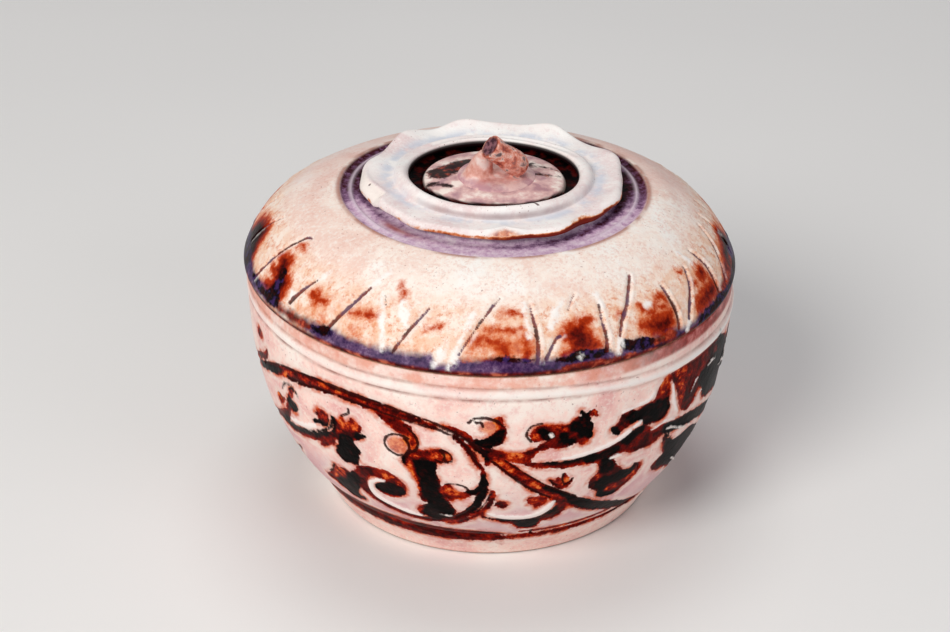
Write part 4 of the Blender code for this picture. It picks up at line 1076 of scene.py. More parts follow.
def painted(g, ground, ink, pool, rust):
    """Iron-brown painting: an orange fringe, mottled red-brown strokes, and pools that go black."""
    plain = g.ease(rust, 0.5, 0.0)
    bright = g.times(g.times(g.ease(ink, -3.2, -1.0), plain), g.patches(7, 0.38, 0.54, 3))
    colour = g.mix(bright, ground, PALE, 0.75)
    colour = g.mix(g.times(g.ease(ink, -3.5, 0.0), plain), colour, FRINGE, 0.25)
    glow = g.times(g.ease(ink, -1.7, 0.0), g.patches(5, 0.36, 0.6, 3))
    colour = g.mix(glow, colour, GLOW, 0.92)
    depth = g.plus(g.scale(g.ease(ink, -0.3, 1.3), 0.24, 0.5), g.swing(1.1, 2.2, 5, 0.7))
    depth = g.plus(depth, g.swing(0.9, 9, 3, middle=0.46))
    depth = g.plus(depth, g.times(g.ease(pool, -1.6, 0.3), 0.55))
    faded = g.scale(g.patches(2.8, 0.38, 0.62, 4, 0.65), -0.06, -0.42)
    depth = g.plus(depth, g.times(rust, faded))
    colour = g.mix(g.ease(ink, -0.2, 0.15), colour, g.ramp(depth, BROWN))
    deep = g.mix(g.patches(3.2, 0.5, 0.66, 4, 0.7), BLACK, DEEP_POOL)
    return g.mix(g.ease(pool, -0.35, 0.5), colour, deep)


def glaze_bumps(g, raised):
    """Pores, orange-peel and throwing unevenness, with the paint standing a little proud."""
    swells = [(g.noise(30, 3), 0.6), (g.noise(6, 4, 0.6), 0.28)]
    return [*swells, (g.noise(1.8, 4, 0.65), 0.09), (g.noise(0.6, 2), 0.03), (raised, 0.08)]


def bare_clay(g, colour, roughness):
    """Unglazed stoneware where the pot stood or where the lid met the rim."""
    bare = g.field("bare")
    grit = g.mix(g.patches(1.3, 0.4, 0.66, 4, 0.7), CLAY, GRIT)
    return g.mix(bare, colour, grit), g.plus(g.times(bare, 0.5), roughness)


def jar_ground(g):
    """The jar's unpainted glaze, with mauve painted shade low down and towards the sides, and darker red
    at the rim.
    """
    ground = glaze_ground(g, PINK, CREAM, PALE)
    # painted shade: mauve low down and towards the sides
    low = g.plus(g.field("low"), g.swing(0.9, 12))
    ground = g.mix(g.ease(low, 0.25, 1.1), ground, LOW_SHADE_MAUVE, 0.65)
    rim = g.times(g.field("rim"), g.patches(9, 0.38, 0.6, 5, 0.65))
    ground = g.mix(rim, ground, RIM_BLUSH, 0.7)
    # the rim goes darker red, most on its right
    return g.mix(g.field("rim_red"), ground, g.ramp(g.noise(5, 5, 0.66), RIM_RED_RAMP), 0.9)


def jar_material():
    g = Graph("jar_glaze")
    ink = ragged(g, g.plus(g.field("ink"), 0.25), 0.45)
    pool = ragged(g, g.field("pool"), 0.6)
    rust = g.ease(ragged(g, g.field("rust"), 0.5), -1.2, 0.9)
    wash = g.ease(ragged(g, g.field("wash"), 0.9), -1.4, 1.0)
    ground = g.mix(wash, jar_ground(g), g.ramp(g.noise(3, 5, 0.66), STAIN), 0.85)
    ground = g.mix(rust, ground, g.ramp(g.noise(2.2, 5, 0.68), EMBERS), 0.85)
    colour = painted(g, ground, ink, pool, rust)
    cut = g.ease(ragged(g, g.field("cut"), 0.16), -0.22, 0.12)
    colour = g.mix(cut, colour, CUT_BROWN, 0.95)
    # painted highlight: white along the raised edges
    ridge_highlight = g.ease(ragged(g, g.field("ridge_highlight"), 0.35), -0.35, 0.25)
    colour = g.mix(ridge_highlight, colour, RIDGE_HIGHLIGHT_WHITE, 0.92)
    # painted highlight: white along the raised hoop under the rim
    colour = g.mix(g.field("hoop"), colour, WHITE)
    groove = g.times(g.field("groove"), g.scale(g.patches(6, 0.36, 0.6), 0.35, 0.9))
    colour = g.mix(groove, colour, LINE_BROWN)
    colour, roughness = bare_clay(g, colour, g.scale(g.noise(8, 3), 0.26, 0.48))
    return g.finish(colour, roughness, glaze_bumps(g, g.ease(ink, -0.2, 0.4)), specular=0.03)


def lid_ground(g):
    """The lid's glaze, warm and grainy between the petal lines."""
    ground = glaze_ground(g, *LID_GLAZE)
    high = g.plus(g.field("high"), g.swing(1.2, 9))
    ground = g.mix(g.ease(high, 0.4, 1.2), ground, LID_ROSE, 0.55)
    warm = g.mix(g.patches(3.6, 0.4, 0.6, 5, 0.68), PETAL_PALE, PETAL_WARM)
    ground = g.mix(g.field("petals"), ground, warm, 0.75)
    grain = g.times(g.patches(1.1, 0.48, 0.62, 4, 0.72), g.patches(11, 0.38, 0.54, 3))
    ground = g.mix(grain, ground, GRAIN, 0.38)
    speck = g.times(g.patches(1.5, 0.5, 0.62, 5, 0.76), g.patches(6, 0.4, 0.6))
    return g.mix(g.times(speck, g.field("petals")), ground, SPECK, 0.7)


def iron_burn(g, ground):
    """Iron that soaked in above the edge, pale orange where it is thin and brown where it is deep."""
    burn = g.plus(g.times(g.field("burn"), 0.75), g.swing(1.7, 3.4, 5, 0.68))
    return g.mix(g.ease(burn, 0.16, 0.9), ground, g.ramp(g.times(burn, 0.55), IRON), 0.9)


def lid_edge(g, ground):
    """The murky band along the edge, crimson in places, and the brown lip below it."""
    edge = g.plus(g.field("edge"), g.swing(3.0, 4))
    murk = g.plus(g.times(g.noise(1.6, 4, 0.66), 0.55), g.times(g.noise(9, 3), 0.6))
    murk = g.ramp(g.plus(murk, g.times(g.field("band_dark"), -0.16)), MURK)
    red = g.ease(ragged(g, g.field("red"), 0.6), -0.7, 0.3)
    murk = g.mix(red, murk, g.ramp(g.noise(2.6, 4, 0.65), CRIMSON))
    ground = g.mix(g.ease(edge, -1.5, 0.9), ground, murk, 0.97)
    return g.mix(g.field("lip"), ground, g.ramp(g.noise(4), LIP))


def lid_crown(g, ground):
    """The glassy moat and its brink, the painted disc, and the dark ring round it."""
    # the moat's colour dims with its painted shade under the plate
    dim = g.plus(g.scale(g.noise(2.4, 5, 0.75), 0.2, 0.92), g.times(g.field("moat_dark"), -0.24))
    wet = g.mix(g.field("crest"), g.ramp(dim, WET), CREST, 0.8)
    ground = g.mix(g.field("moat"), ground, wet)
    brink = g.times(g.field("brink"), g.patches(14, 0.36, 0.54, 3))
    ground = g.mix(brink, ground, BRINK, 0.8)
    ground = g.mix(g.field("disc"), ground, g.ramp(g.noise(6), DISC), 0.9)
    brush = g.ease(ragged(g, g.field("brush"), 0.9), -0.9, 0.5)
    ground = g.mix(brush, ground, g.ramp(g.noise(3, 4, 0.65), SMEAR), 0.95)
    ring = g.mix(g.patches(3, 0.44, 0.66, 3), BLACK, RING_RED)
    return g.mix(g.field("ring"), ground, ring)


def lid_marks(g, colour):
    """Black pools along the edge, painted highlights beside the petal lines and on the burrs, and the
    petal lines.
    """
    pool = g.ease(ragged(g, g.field("pool"), 0.7), -0.5, 0.4)
    colour = g.mix(pool, colour, g.ramp(g.noise(2.4, 3), EDGE_BLACK))
    # painted highlights: white streaks beside the petal lines
    lit_streak = g.ease(ragged(g, g.field("lit_streak"), 0.6), -1.0, 0.5)
    lit_streak = g.times(lit_streak, g.patches(2.4, 0.32, 0.52))
    colour = g.mix(lit_streak, colour, WHITE, 0.9)
    # painted highlight: white on the burrs beside the cuts
    burr = g.times(g.field("burr"), g.patches(4, 0.4, 0.6, 3))
    colour = g.mix(burr, colour, WHITE, 0.45)
    cut = g.ease(ragged(g, g.field("cut"), 0.24), -0.1, 0.3)
    return g.mix(cut, colour, g.ramp(g.noise(7, 3), CUT_TINT), 0.92)


def lid_material():
    g = Graph("lid_glaze")
    ground = iron_burn(g, lid_ground(g))
    blotch = g.plus(g.times(g.field("blotch"), 0.32), g.swing(2.0, 2.2, 5, 0.7))
    iron = g.ramp(g.scale(blotch, 0.5, 0.88), IRON)
    ground = g.mix(g.ease(blotch, -0.75, 0.25), ground, iron)
    colour = lid_marks(g, lid_crown(g, lid_edge(g, ground)))
    colour, roughness = bare_clay(g, colour, g.scale(g.noise(8, 3), 0.24, 0.46))
    return g.finish(colour, roughness, glaze_bumps(g, g.ease(blotch, -0.5, 0.8)), specular=0.06)


def calyx_material():
    g = Graph("calyx_glaze")
    ground = glaze_ground(g, *CALYX_GLAZE)
    cool = g.times(g.field("hollow"), g.patches(8, 0.36, 0.58, 3))
    ground = g.mix(cool, ground, COOL, 0.75)
    # painted light: the tab's face past its crease is lighter
    ground = g.mix(g.field("tab"), ground, TAB_LIGHT, 0.7)
    ground = g.mix(g.field("pinch"), ground, g.ramp(g.noise(2.4, 4, 0.66), PINCH_EMBER), 0.85)
    worn = g.ease(g.plus(g.field("rim"), g.swing(1.6, 4, 5, 0.65)), 0.4, 1.1)
    ground = g.mix(g.ease(worn, 0.0, 0.4), ground, g.ramp(worn, RIM_RUST))
    seam = g.times(g.field("seam"), g.scale(g.noise(5, 3), 0.3, 0.85))
    ground = g.mix(seam, ground, SEAM)
    # painted shade under the plate, with the dark foot of the hole
    ground = g.mix(g.field("under"), ground, UNDERSIDE_SHADE)
    crack = g.ease(g.field("crack"), -0.15, 0.15)
    pinhole = g.ease(g.field("pinhole"), -0.15, 0.15)
    ground = g.mix(g.math("MAXIMUM", crack, pinhole), ground, CRACK, 0.85)
    roughness = g.scale(g.noise(8, 3), 0.24, 0.46)
    return g.finish(ground, roughness, glaze_bumps(g, g.noise(4, 3)), specular=0.15)


def stem_material():
    g = Graph("stem_glaze")
    tone = g.ramp(g.noise(4, 5, 0.6), STALK)
    tone = g.mix(g.field("twig"), tone, g.ramp(g.noise(2.8, 5, 0.64), BARK), 0.9)
    spots = g.times(g.patches(2.8, 0.58, 0.66, 2, 0.4), g.field("twig"))
    tone = g.mix(spots, tone, BARK_SPOT, 0.9)
    sawn = g.mix(g.patches(1.6, 0.4, 0.62, 3), SAWN_DARK, SAWN_PALE)
    tone = g.mix(g.field("cut_end"), tone, sawn)
    tone = g.mix(g.field("cut_rim"), tone, SAWN_RIM, 0.8)
    mound = g.mix(g.patches(5, 0.4, 0.6), MOUND_DARK, MOUND_PALE)
    tone = g.mix(g.field("foot"), tone, mound, 0.9)
    roughness = g.scale(g.noise(4, 3), 0.24, 0.5)
    return g.finish(tone, roughness, [(g.noise(3), 0.25), (g.noise(0.8, 3), 0.05)], specular=0.2)


# Jar

PAINTED_WALL = (9.0, 70.5, 50)  # between two heights, beyond a radius
PAINTED_FOOT = (4, 20, 50)
HOOP_HALF = 1.5
LOW_LINE = -1.75  # from the middle of the hoop
HIGH_LINE = 1.9
BASE_EDGE = 0.5


def belly(steps):
    """The jar's outside from the rim line down to the foot line."""
    top, foot = (BELLY_RADIUS, RIM_LINE), (FOOT_TOP_RADIUS, FOOT_LINE)
    return bend(top, (BELLY_RADIUS, 45), (69.2, 27), foot, steps)


def jar_wall_outline():
    """The outside of the jar, from the ledge at its rim down to the middle of its base."""
    ledge = (COLLAR_RADIUS, RIM_HEIGHT)
    ground, ring = (FOOT_RADIUS, 0.0), (FOOT_RADIUS - FOOT_RING, 0.0)
    recess = (ring[0] - 2, FOOT_RECESS)
    return joined(
        line((RIM_SEAM, RIM_HEIGHT), (RIM_RADIUS - 0.9, RIM_HEIGHT), 1),
        corner(ledge, (RIM_RADIUS, RIM_HEIGHT), (BELLY_RADIUS, RIM_LINE), 0.9),
        line((RIM_RADIUS, RIM_HEIGHT - 1), (BELLY_RADIUS, RIM_LINE), 13),
        belly(96),
        bend((FOOT_TOP_RADIUS, FOOT_LINE), (54.6, 7), (52.2, 3.6), (FOOT_RADIUS + 0.3, 0.9), 12),
        corner((FOOT_RADIUS + 0.3, 1.0), ground, ring, 0.8, 2),
        corner(ground, ring, recess, 0.7, 2),
        line(recess, (0, FOOT_RECESS), 4),
    )


def jar_inside_outline():
    """The inside of the jar, from the middle of its floor up over the collar to the ledge."""
    inner = inset(belly(60), WALL)[::-2]
    inner = inner[(inner[:, 1] > 20) & (inner[:, 1] < 62)]
    low, top = inner[0], inner[-1]
    collar_in = COLLAR_RADIUS - COLLAR_WALL
    collar_top = RIM_HEIGHT + COLLAR_HEIGHT
    ledge = (COLLAR_RADIUS, RIM_HEIGHT)
    return joined(
        line((0, FLOOR), (low[0] - 14, FLOOR), 8),
        bend((low[0] - 14, FLOOR), (low[0] - 6, FLOOR), (low[0] - 2.6, low[1] - 4.2), low, 9),
        inner,
        bend(top, (top[0], 67), (collar_in, 67), (collar_in, 72), 8),
        corner((collar_in, 72), (collar_in, collar_top), (COLLAR_RADIUS, collar_top), 1.1),
        corner((collar_in, collar_top), (COLLAR_RADIUS, collar_top), ledge, 1.1),
        corner((COLLAR_RADIUS, collar_top), ledge, (RIM_SEAM, RIM_HEIGHT), 0.8),
        line((COLLAR_RADIUS + 0.8, RIM_HEIGHT), (RIM_SEAM, RIM_HEIGHT), 2),
    )


def wander(turned, size):
    """Slow unevenness of a hand-turned wall, in mm."""
    turn = np.radians(turned.azimuth)[None, :]
    reach = turned.reach[:, None]
    return size * (
        0.5 * np.sin(2 * turn + 0.7)
        + 0.35 * np.sin(3 * turn + reach / 23 + 2.1)
        + 0.3 * np.sin(5 * turn - reach / 15 + 0.4)
        + 0.25 * np.sin(reach / 2.9 + 0.8 * np.sin(turn))
    )


def throwing_rings(turned, spacing, depth):
    """The spiral that the fingers left in a thrown wall, in mm."""
    return depth * np.sin(turned.reach[:, None] / spacing + np.radians(turned.azimuth)[None, :])


def paint_jar(jar):
    """Draws the vine on the front and the back, and the washes on the foot."""
    wall = jar.rows(*PAINTED_WALL)
    for turn in (0.0, 180.0):
        draw(jar, wall, "ink", VINE, turn, INK_SPREAD)
        fill(jar, wall, "ink", VINE_SHAPES, turn)
        draw(jar, wall, "pool", POOLS, turn)
        fill(jar, wall, "pool", POOL_SHAPES, turn)
        draw(jar, wall, "cut", CUTS, turn)
        draw(jar, wall, "ridge_highlight", RIDGE_HIGHLIGHTS, turn)
        fill(jar, wall, "rust", RUST, turn)
    foot = jar.rows(*PAINTED_FOOT)
    draw(jar, foot, "wash", FOOT_WASH)
    draw(jar, foot, "ink", FOOT_BAND)


def mould_jar(jar, outside):
    """The hoop under the rim between its two lines, the foot's line, and the relief of the painting."""
    above_hoop = jar.height - jar.around(HOOP)
    hoop = hill(above_hoop, 0.0, HOOP_HALF) * outside
    low_line = hill(above_hoop, LOW_LINE, 0.42) * outside
    high_line = hill(above_hoop, HIGH_LINE, 0.4) * outside
    foot_line = hill(jar.height, FOOT_LINE, 0.6) * (jar.radius > 50)
    rise = jar.around(HOOP_RISE)
    jar.push += wander(jar, WALL_WANDER) * outside + hoop * rise - FOOT_LINE_DEPTH * foot_line
    jar.push -= LOW_LINE_DEPTH * low_line + HIGH_LINE_DEPTH * high_line
    jar.push -= CUT_DEPTH * smooth_step(jar.fields["cut"], -0.45, 0.4)
    jar.push += RIDGE_RISE * smooth_step(jar.fields["ridge_highlight"], -0.6, 0.5)
    jar.push -= INK_BITE * smooth_step(jar.fields["ink"], -0.5, 0.7)
    # painted highlight on the hoop, whiter where it stands out more
    jar.fields["hoop"] = hoop**2 * np.clip(0.2 + rise, 0, 0.95)
    jar.fields["groove"] = np.clip(low_line * jar.around(LINE_INK) + 0.6 * high_line, 0, 1)


def make_jar_wall(material):
    jar = Turned(jar_wall_outline(), azimuths(FRONT_SPAN))
    height, radius = jar.height, jar.radius
    outside = smooth_step(height, 0.5, 6) * smooth_step(75.5 - height, 0, 4) * (radius > 48)
    paint_jar(jar)
    mould_jar(jar, outside)
    jar.fields["rim"] = smooth_step(height, 71.4, 72.6) * (radius > 70)
    # how dark red the rim is, by azimuth
    jar.fields["rim_red"] = jar.fields["rim"] * jar.around(RIM_REDNESS)
    # painted shade: mauve low down and towards the sides, kept off the foot
    aside = smooth_step(np.abs(signed_angle(jar.azimuth)), 40, 75)[None, :]
    low_side_shade = smooth_step(50 - height, 0, 34) + 0.45 * aside
    jar.fields["low"] = outside * smooth_step(height, 6, 14) * low_side_shade
    ledge = (height > RIM_HEIGHT - 0.2) & (radius < RIM_RADIUS - 0.4)
    base = (height < BASE_EDGE) | (radius < FOOT_RADIUS - FOOT_RING + BASE_EDGE)
    jar.fields["bare"] = np.where(ledge | base, 1.0, 0.0)
    finish_piece(turned_piece("jar_wall", jar, material), "jar_body", "jar")


def make_jar_inside(material):
    jar = Turned(jar_inside_outline(), azimuths(FRONT_SPAN))
    thrown = smooth_step(66 - jar.height, 0, 6) * smooth_step(jar.radius, 8, 20)
    jar.push += throwing_rings(jar, 4.2, 0.16) * thrown
    for name in ("ink", "pool", "cut", "ridge_highlight", "rust", "wash"):
        jar.field(name, FAR)
    for name in ("hoop", "groove", "rim", "rim_red"):
        jar.field(name)
    # painted shade: darker mauve deeper inside
    jar.fields["low"] = smooth_step(60 - jar.height, 0, 40)
    seat = jar.radius > COLLAR_RADIUS - COLLAR_WALL + 0.8
    jar.fields["bare"] = np.where((jar.height > RIM_HEIGHT - 0.3) & seat, 1.0, 0.0)
    finish_piece(turned_piece("jar_inside", jar, material), "jar_body", "jar")


# Lid

DOME_TOP = 99.2
LIP_TOP = 78.3
PETALS_TOP = 96.0
BURN_TOP = 94.0
CHANNEL_BEND = 22.4
MOAT_FOOT = 38.4
RING_OUTER = 33.5
# The painted shade under the plate's edge and the blush beside it, each with a radius and a half width
SHADE_RING = (39.0, 1.6)
BLUSH_RING = (40.2, 1.4)
BLUSH_TURN = (-46.0, 13.0)
BRINK_RING = (47.0, 0.7)


def dome(steps):
    """The lid's outside from the brink of the moat down to its brow."""
    return bend((MOAT_RADIUS, MOAT_EDGE), (64, 96.5), (72.4, 84.7), (LID_RADIUS, BROW), steps)


def lid_top_outline():
    """The outside of the lid, from the middle of its crown down to its edge."""
    outer, inner_edge = (LID_RADIUS, LID_EDGE), (SKIRT_RADIUS, LID_EDGE)
    stem_seat, disc = (STEM_SEAT_RADIUS, STEM_SEAT), (DISC_RADIUS - 0.5, DISC_EDGE)
    channel, moat = (CHANNEL_BEND, CHANNEL_FLOOR), (MOAT_RADIUS - 1.6, MOAT_FLOOR)
    seat, moat_foot = (CALYX_SEAT_RADIUS, CALYX_SEAT), (MOAT_FOOT, MOAT_FLOOR)
    return joined(
        line((0, STEM_SEAT), stem_seat, 4),
        bend(stem_seat, (16, 102.6), (19, 102.2), disc, 9),
        bend(disc, (21.4, 101.4), (21.6, CHANNEL_FLOOR), channel, 4),
        line(channel, (CALYX_HOLE, CHANNEL_FLOOR), 2),
        line((CALYX_HOLE + 0.7, CALYX_SEAT), seat, 3),
        bend(seat, (36.4, 98.8), (36.6, 98.4), moat_foot, 4),
        line(moat_foot, moat, 13),
        bend(moat, (46, MOAT_FLOOR), (46.1, 99.2), (MOAT_RADIUS, MOAT_EDGE), 4),
        dome(88),
        corner((LID_RADIUS, BROW), outer, inner_edge, 1.0),
        line((LID_RADIUS - 1.0, LID_EDGE), (LID_SEAM, LID_EDGE), 1),
    )


def lid_inside_outline():
    """The inside of the lid, from its edge up to the middle of its ceiling."""
    inner = inset(dome(40), LID_WALL)[::-2]
    inner = inner[(inner[:, 1] > SKIRT_TOP + 0.4) & (inner[:, 0] < SKIRT_RADIUS - 0.5)]
    outer, inner_edge = (LID_RADIUS, LID_EDGE), (SKIRT_RADIUS, LID_EDGE)
    return joined(
        line((LID_SEAM, LID_EDGE), (SKIRT_RADIUS + 0.7, LID_EDGE), 1),
        corner(outer, inner_edge, (SKIRT_RADIUS, SKIRT_TOP), 0.7),
        line((SKIRT_RADIUS, LID_EDGE + 1.5), (SKIRT_RADIUS, SKIRT_TOP), 3),
        inner,
        line((44, CEILING - 0.9), (0, CEILING), 8),
    )


def make_lid_inside(material):
    lid = Turned(lid_inside_outline(), azimuths(LID_FRONT_SPAN))
    thrown = smooth_step(66 - lid.radius, 0, 6) * smooth_step(lid.radius, 6, 16)
    lid.push += throwing_rings(lid, 3.6, 0.14) * thrown
    for name in ("cut", "lit_streak", "blotch", "pool", "brush", "edge", "red"):
        lid.field(name, FAR)
    for name in ("burr", "band_dark", "lip", "petals", "burn", "high"):
        lid.field(name)
    for name in ("moat", "moat_dark", "brink", "crest", "disc", "ring"):
        lid.field(name)
    bare = (lid.height < LID_EDGE + 0.4) | (lid.radius > SKIRT_RADIUS - 0.3)
    lid.fields["bare"] = np.where(bare, 1.0, 0.0)
    finish_piece(turned_piece("lid_inside", lid, material), "lid_dome", "lid")


def moved_aside(strokes, angle):
    return [[(place + angle, height, half) for place, height, half in stroke] for stroke in strokes]


def back_petals():
    """Petal lines round the back, which go on in the rhythm of the front ones."""
    lines = []
    for k in range(BACK_PETALS):
        foot = BACK_PETAL_START + k * BACK_PETAL_STEP + 2.0 * math.sin(2.3 * k)
        tip = 92.5 + 1.2 * math.sin(1.7 * k)
        side = 5.0 if k % 2 else 1.0
        lines.append([(foot, 80.5, 0.55), (foot + side / 2, 86.5, 0.6), (foot + side, tip, 0.3)])
    return lines


def back_blotches():
    """A blotch between each two petal lines round the back."""
    spots = []
    for k in range(BACK_PETALS):
        middle = BACK_PETAL_START + (k + 0.6) * BACK_PETAL_STEP
        size = 1.2 + 0.7 * math.sin(1.3 * k + 0.5)
        spots.append([(middle, 87.5, size * 0.7), (middle + 1, 85, size), (middle, 82, size * 1.2)])
    return spots


def paint_lid(lid, dome_rows):
    """Draws the petal lines, the painted highlights beside them, blotches and edge pools, some again
    round the back.
    """
    petals = [*FRONT_PETALS, *back_petals()]
    draw(lid, dome_rows, "cut", petals, 0.0, PETAL_SPREAD)
    draw(lid, dome_rows, "burr", moved_aside(petals, BURR_ASIDE))
    draw(lid, dome_rows, "lit_streak", LIT_STREAKS)
    draw(lid, dome_rows, "blotch", [*BLOTCHES, *back_blotches()])
    fill(lid, dome_rows, "blotch", BLOTCH_SHAPES)
    fill(lid, dome_rows, "pool", EDGE_POOLS)
    fill(lid, dome_rows, "pool", EDGE_POOLS[1:4], 180.0)
    draw(lid, dome_rows, "red", EDGE_REDS)
    draw(lid, dome_rows, "red", EDGE_REDS[:2], 180.0)
    lid.fields["burr"] = smooth_step(lid.fields["burr"], -0.5, 0.2)


def tone_dome(lid, outside, side):
    """Fields of the dome's outside: the band along its edge, the lip, the burnt glaze, and the glaze that
    goes rosier high on the sides and back.
    """
    height = lid.height
    band = np.minimum(lid.around(BAND_TOP) - height, height - lid.around(BAND_LOW))
    lid.fields["edge"] = np.where(outside > 0, np.maximum(band, FAR), FAR)
    lid.fields["band_dark"] = outside * lid.around(BAND_DARK)
    lid.fields["lip"] = outside * smooth_step(LIP_TOP - height, 0.0, 0.9)
    lid.fields["petals"] = outside * smooth_step(PETALS_TOP - height, 0.0, 6.0)
    lid.fields["burn"] = outside * lid.around(BURN) * smooth_step(BURN_TOP - height, 0.0, 10.0)
    # the glaze goes rosier high on the dome towards the sides and back
    lid.fields["high"] = outside * smooth_step(side, 50, 110) * smooth_step(height, 86, 94)


def tone_crown(lid, outside, crown, side):
    """Fields of the crown: the moat, its painted shade, brink and crest, the disc, and the ring round it.
    """
    radius = lid.radius
    moat = smooth_step(radius, 33.0, 34.0) * smooth_step(MOAT_RADIUS + 0.1 - radius, 0.0, 0.9)
    lid.fields["moat"] = crown * moat
    # painted shade under the plate's edge; the moat also goes darker towards the sides and back
    under_plate = lid.around(PLATE_SHADE) * hill(radius, *SHADE_RING)
    lid.fields["moat_dark"] = 1.2 * smooth_step(side, 60, 98) + under_plate
    blush = hill(radius, *BLUSH_RING) * hill(lid.azimuth, *BLUSH_TURN)[None, :]
    lid.fields["brink"] = (hill(radius, *BRINK_RING) + blush) * (crown + outside)
    lid.fields["crest"] = crown * hill(radius, MOAT_RIDGE_RADIUS, 0.55) * smooth_step(side, 25, 60)
    disc_reach = radius - DISC_SLIDE * np.sin(np.radians(lid.azimuth))[None, :]
    lid.fields["disc"] = crown * smooth_step(DISC_RADIUS + 0.3 - disc_reach, 0.0, 0.8)
    ring_gap = disc_reach - lid.around(RING_INNER)
    lid.fields["ring"] = crown * smooth_step(ring_gap, 0.0, 0.8) * (radius < RING_OUTER)


def draw_disc(lid):
    """Brown brush marks on the disc, like the ends of leaves."""
    field = lid.field("brush", FAR)
    rows = np.arange(np.argmax(lid.outline[:, 0] > DISC_RADIUS))
    turn = np.radians(lid.azimuth)[None, :]
    x, y = lid.radius[rows] * np.sin(turn), -lid.radius[rows] * np.cos(turn)
    for x0, y0, x1, y1, half in DISC_MARKS:
        run, climb = x1 - x0, y1 - y0
        along = np.clip(((x - x0) * run + (y - y0) * climb) / (run**2 + climb**2), 0, 1)
        gap = np.hypot(x - x0 - along * run, y - y0 - along * climb)
        field[rows] = np.maximum(field[rows], half * (1 - 0.5 * along) - gap)


def make_lid_top(material):
    lid = Turned(lid_top_outline(), azimuths(LID_FRONT_SPAN))
    height = lid.height
    dome_rows = lid.rows(LID_EDGE, DOME_TOP, MOAT_RADIUS)
    outside, crown = np.zeros(lid.shape), np.zeros(lid.shape)
    outside[dome_rows] = 1.0
    crown[: dome_rows[0]] = 1.0
    side = np.abs(signed_angle(lid.azimuth))[None, :] * np.ones(lid.shape)
    paint_lid(lid, dome_rows)
    tone_dome(lid, outside, side)
    tone_crown(lid, outside, crown, side)
    draw_disc(lid)
    plain = outside * smooth_step(height, 77.5, 82) * smooth_step(99 - height, 0, 3)
    lid.push += wander(lid, LID_WANDER) * plain
    lid.push += CREST_RISE * lid.fields["crest"]
    lid.push -= PETAL_DEPTH * smooth_step(lid.fields["cut"], -0.5, 0.4)
    lid.push += BURR_RISE * lid.fields["burr"] * (lid.fields["cut"] < -0.2)
    # the streaks under the painted highlights stand a little proud
    lid.push += LIT_STREAK_RISE * smooth_step(lid.fields["lit_streak"], -0.4, 0.6) * outside
    bare = (height < LID_EDGE + 0.05) & (lid.radius < LID_RADIUS - 0.6)
    lid.fields["bare"] = np.where(bare, 1.0, 0.0)
    finish_piece(turned_piece("lid_top", lid, material), "lid_dome", "lid")


# Calyx

CALYX_COLUMNS = 640
CALYX_BASE = CALYX_SEAT + SEAT_GAP
CALYX_RADIUS = 38.6
BEAD_WIDTH = 4.6
BEAD_END = CALYX_HOLE + BEAD_WIDTH
PLATE = 2.0
LIP_DROP = 0.6
FRONT_BEAD_RISE = 0.5
BACK_BEAD_DROP = 1.9
CREASE_RISE = 0.35
PINHOLE_DEPTH = 0.5
# Azimuth, reach, lift and width in degrees of each pinched corner
CORNERS = [(-166, 1.0, 3.1, 13), (-136, 1.2, 2.8, 12), (-101, 0.5, 0.6, 12), (-80, 1.6, 0.3, 16),
           (-22, 0.5, 0.3, 12), (30, 1.5, 0.4, 9), (44, -1.0, 0.0, 7), (72, 0.9, 0.7, 12),
           (112, 1.8, 1.5, 14), (153, 1.2, 3.2, 13), (180, 0.0, 1.7, 16)]
# Radius where the plate is creased down by azimuth: a wide tab at the left and a pinch at the front
NO_CREASE = 43.0
TAB = [(-180, NO_CREASE), (-98, NO_CREASE), (-95, 39.4), (-80, 37.4), (-71, 35.4), (-66, 34.7),
       (-62, 37.6), (-57, NO_CREASE), (180, NO_CREASE)]
PINCH = [(-180, NO_CREASE), (-16, NO_CREASE), (-10, 39.2), (-4, 37.8), (2, 35.8), (5, 34.9), (7, 35.9),
         (12, 37.6), (17, 39.2), (22, NO_CREASE), (180, NO_CREASE)]
TAB_END = -40  # azimuth that parts the tab from the pinch
TAB_SLOPE = 0.38
PINCH_SLOPE = 0.12
PINHOLE = (-77.6, 37.9, 0.42)  # azimuth, radius and size
CRACK_TURN = 22.4  # azimuth of the crack where it leaves the hole
CRACK_SLANT = 1.4  # degrees that it turns for each mm outwards
RUST_EDGE = [(-180, 0.5), (-62, 0.5), (-30, 0.7), (0, 0.9), (15, 1.2), (40, 1.3), (62, 1.1), (80, 0.6),
             (180, 0.5)]
WORN_TOP = 0.8
WORN_REACH = (35.2, 37.6)
WORN_TURN = (44.0, 10.0)


def calyx_section():
    """The closed section of the calyx from its hole outwards, and how many of its points are on top."""
    bead_foot = (BEAD_END, PLATE - 0.2)
    lip, drop = (CALYX_RADIUS - 1.6, PLATE - 0.3), (CALYX_RADIUS - 0.7, -LIP_DROP)
    under = (CALYX_HOLE + 1.2, 0.0)
    bead = bend((CALYX_HOLE, 0.7), (CALYX_HOLE - 0.2, 5.2), (CALYX_HOLE + 3.9, 5.0), bead_foot, 16)
    plate_top = bend(bead_foot, (30.8, 1.2), (34, PLATE - 0.2), lip, 24)
    edge = bend(lip, (CALYX_RADIUS + 0.2, PLATE - 0.4), (CALYX_RADIUS + 0.7, -LIP_DROP - 0.3), drop, 14)
    below = bend(drop, (36.4, 0.1), (32, 0.02), under, 14)
    hole = corner(under, (CALYX_HOLE, 0), (CALYX_HOLE, 1), 0.6)
    return joined(bead, plate_top, edge, below, hole), len(bead) + len(plate_top)


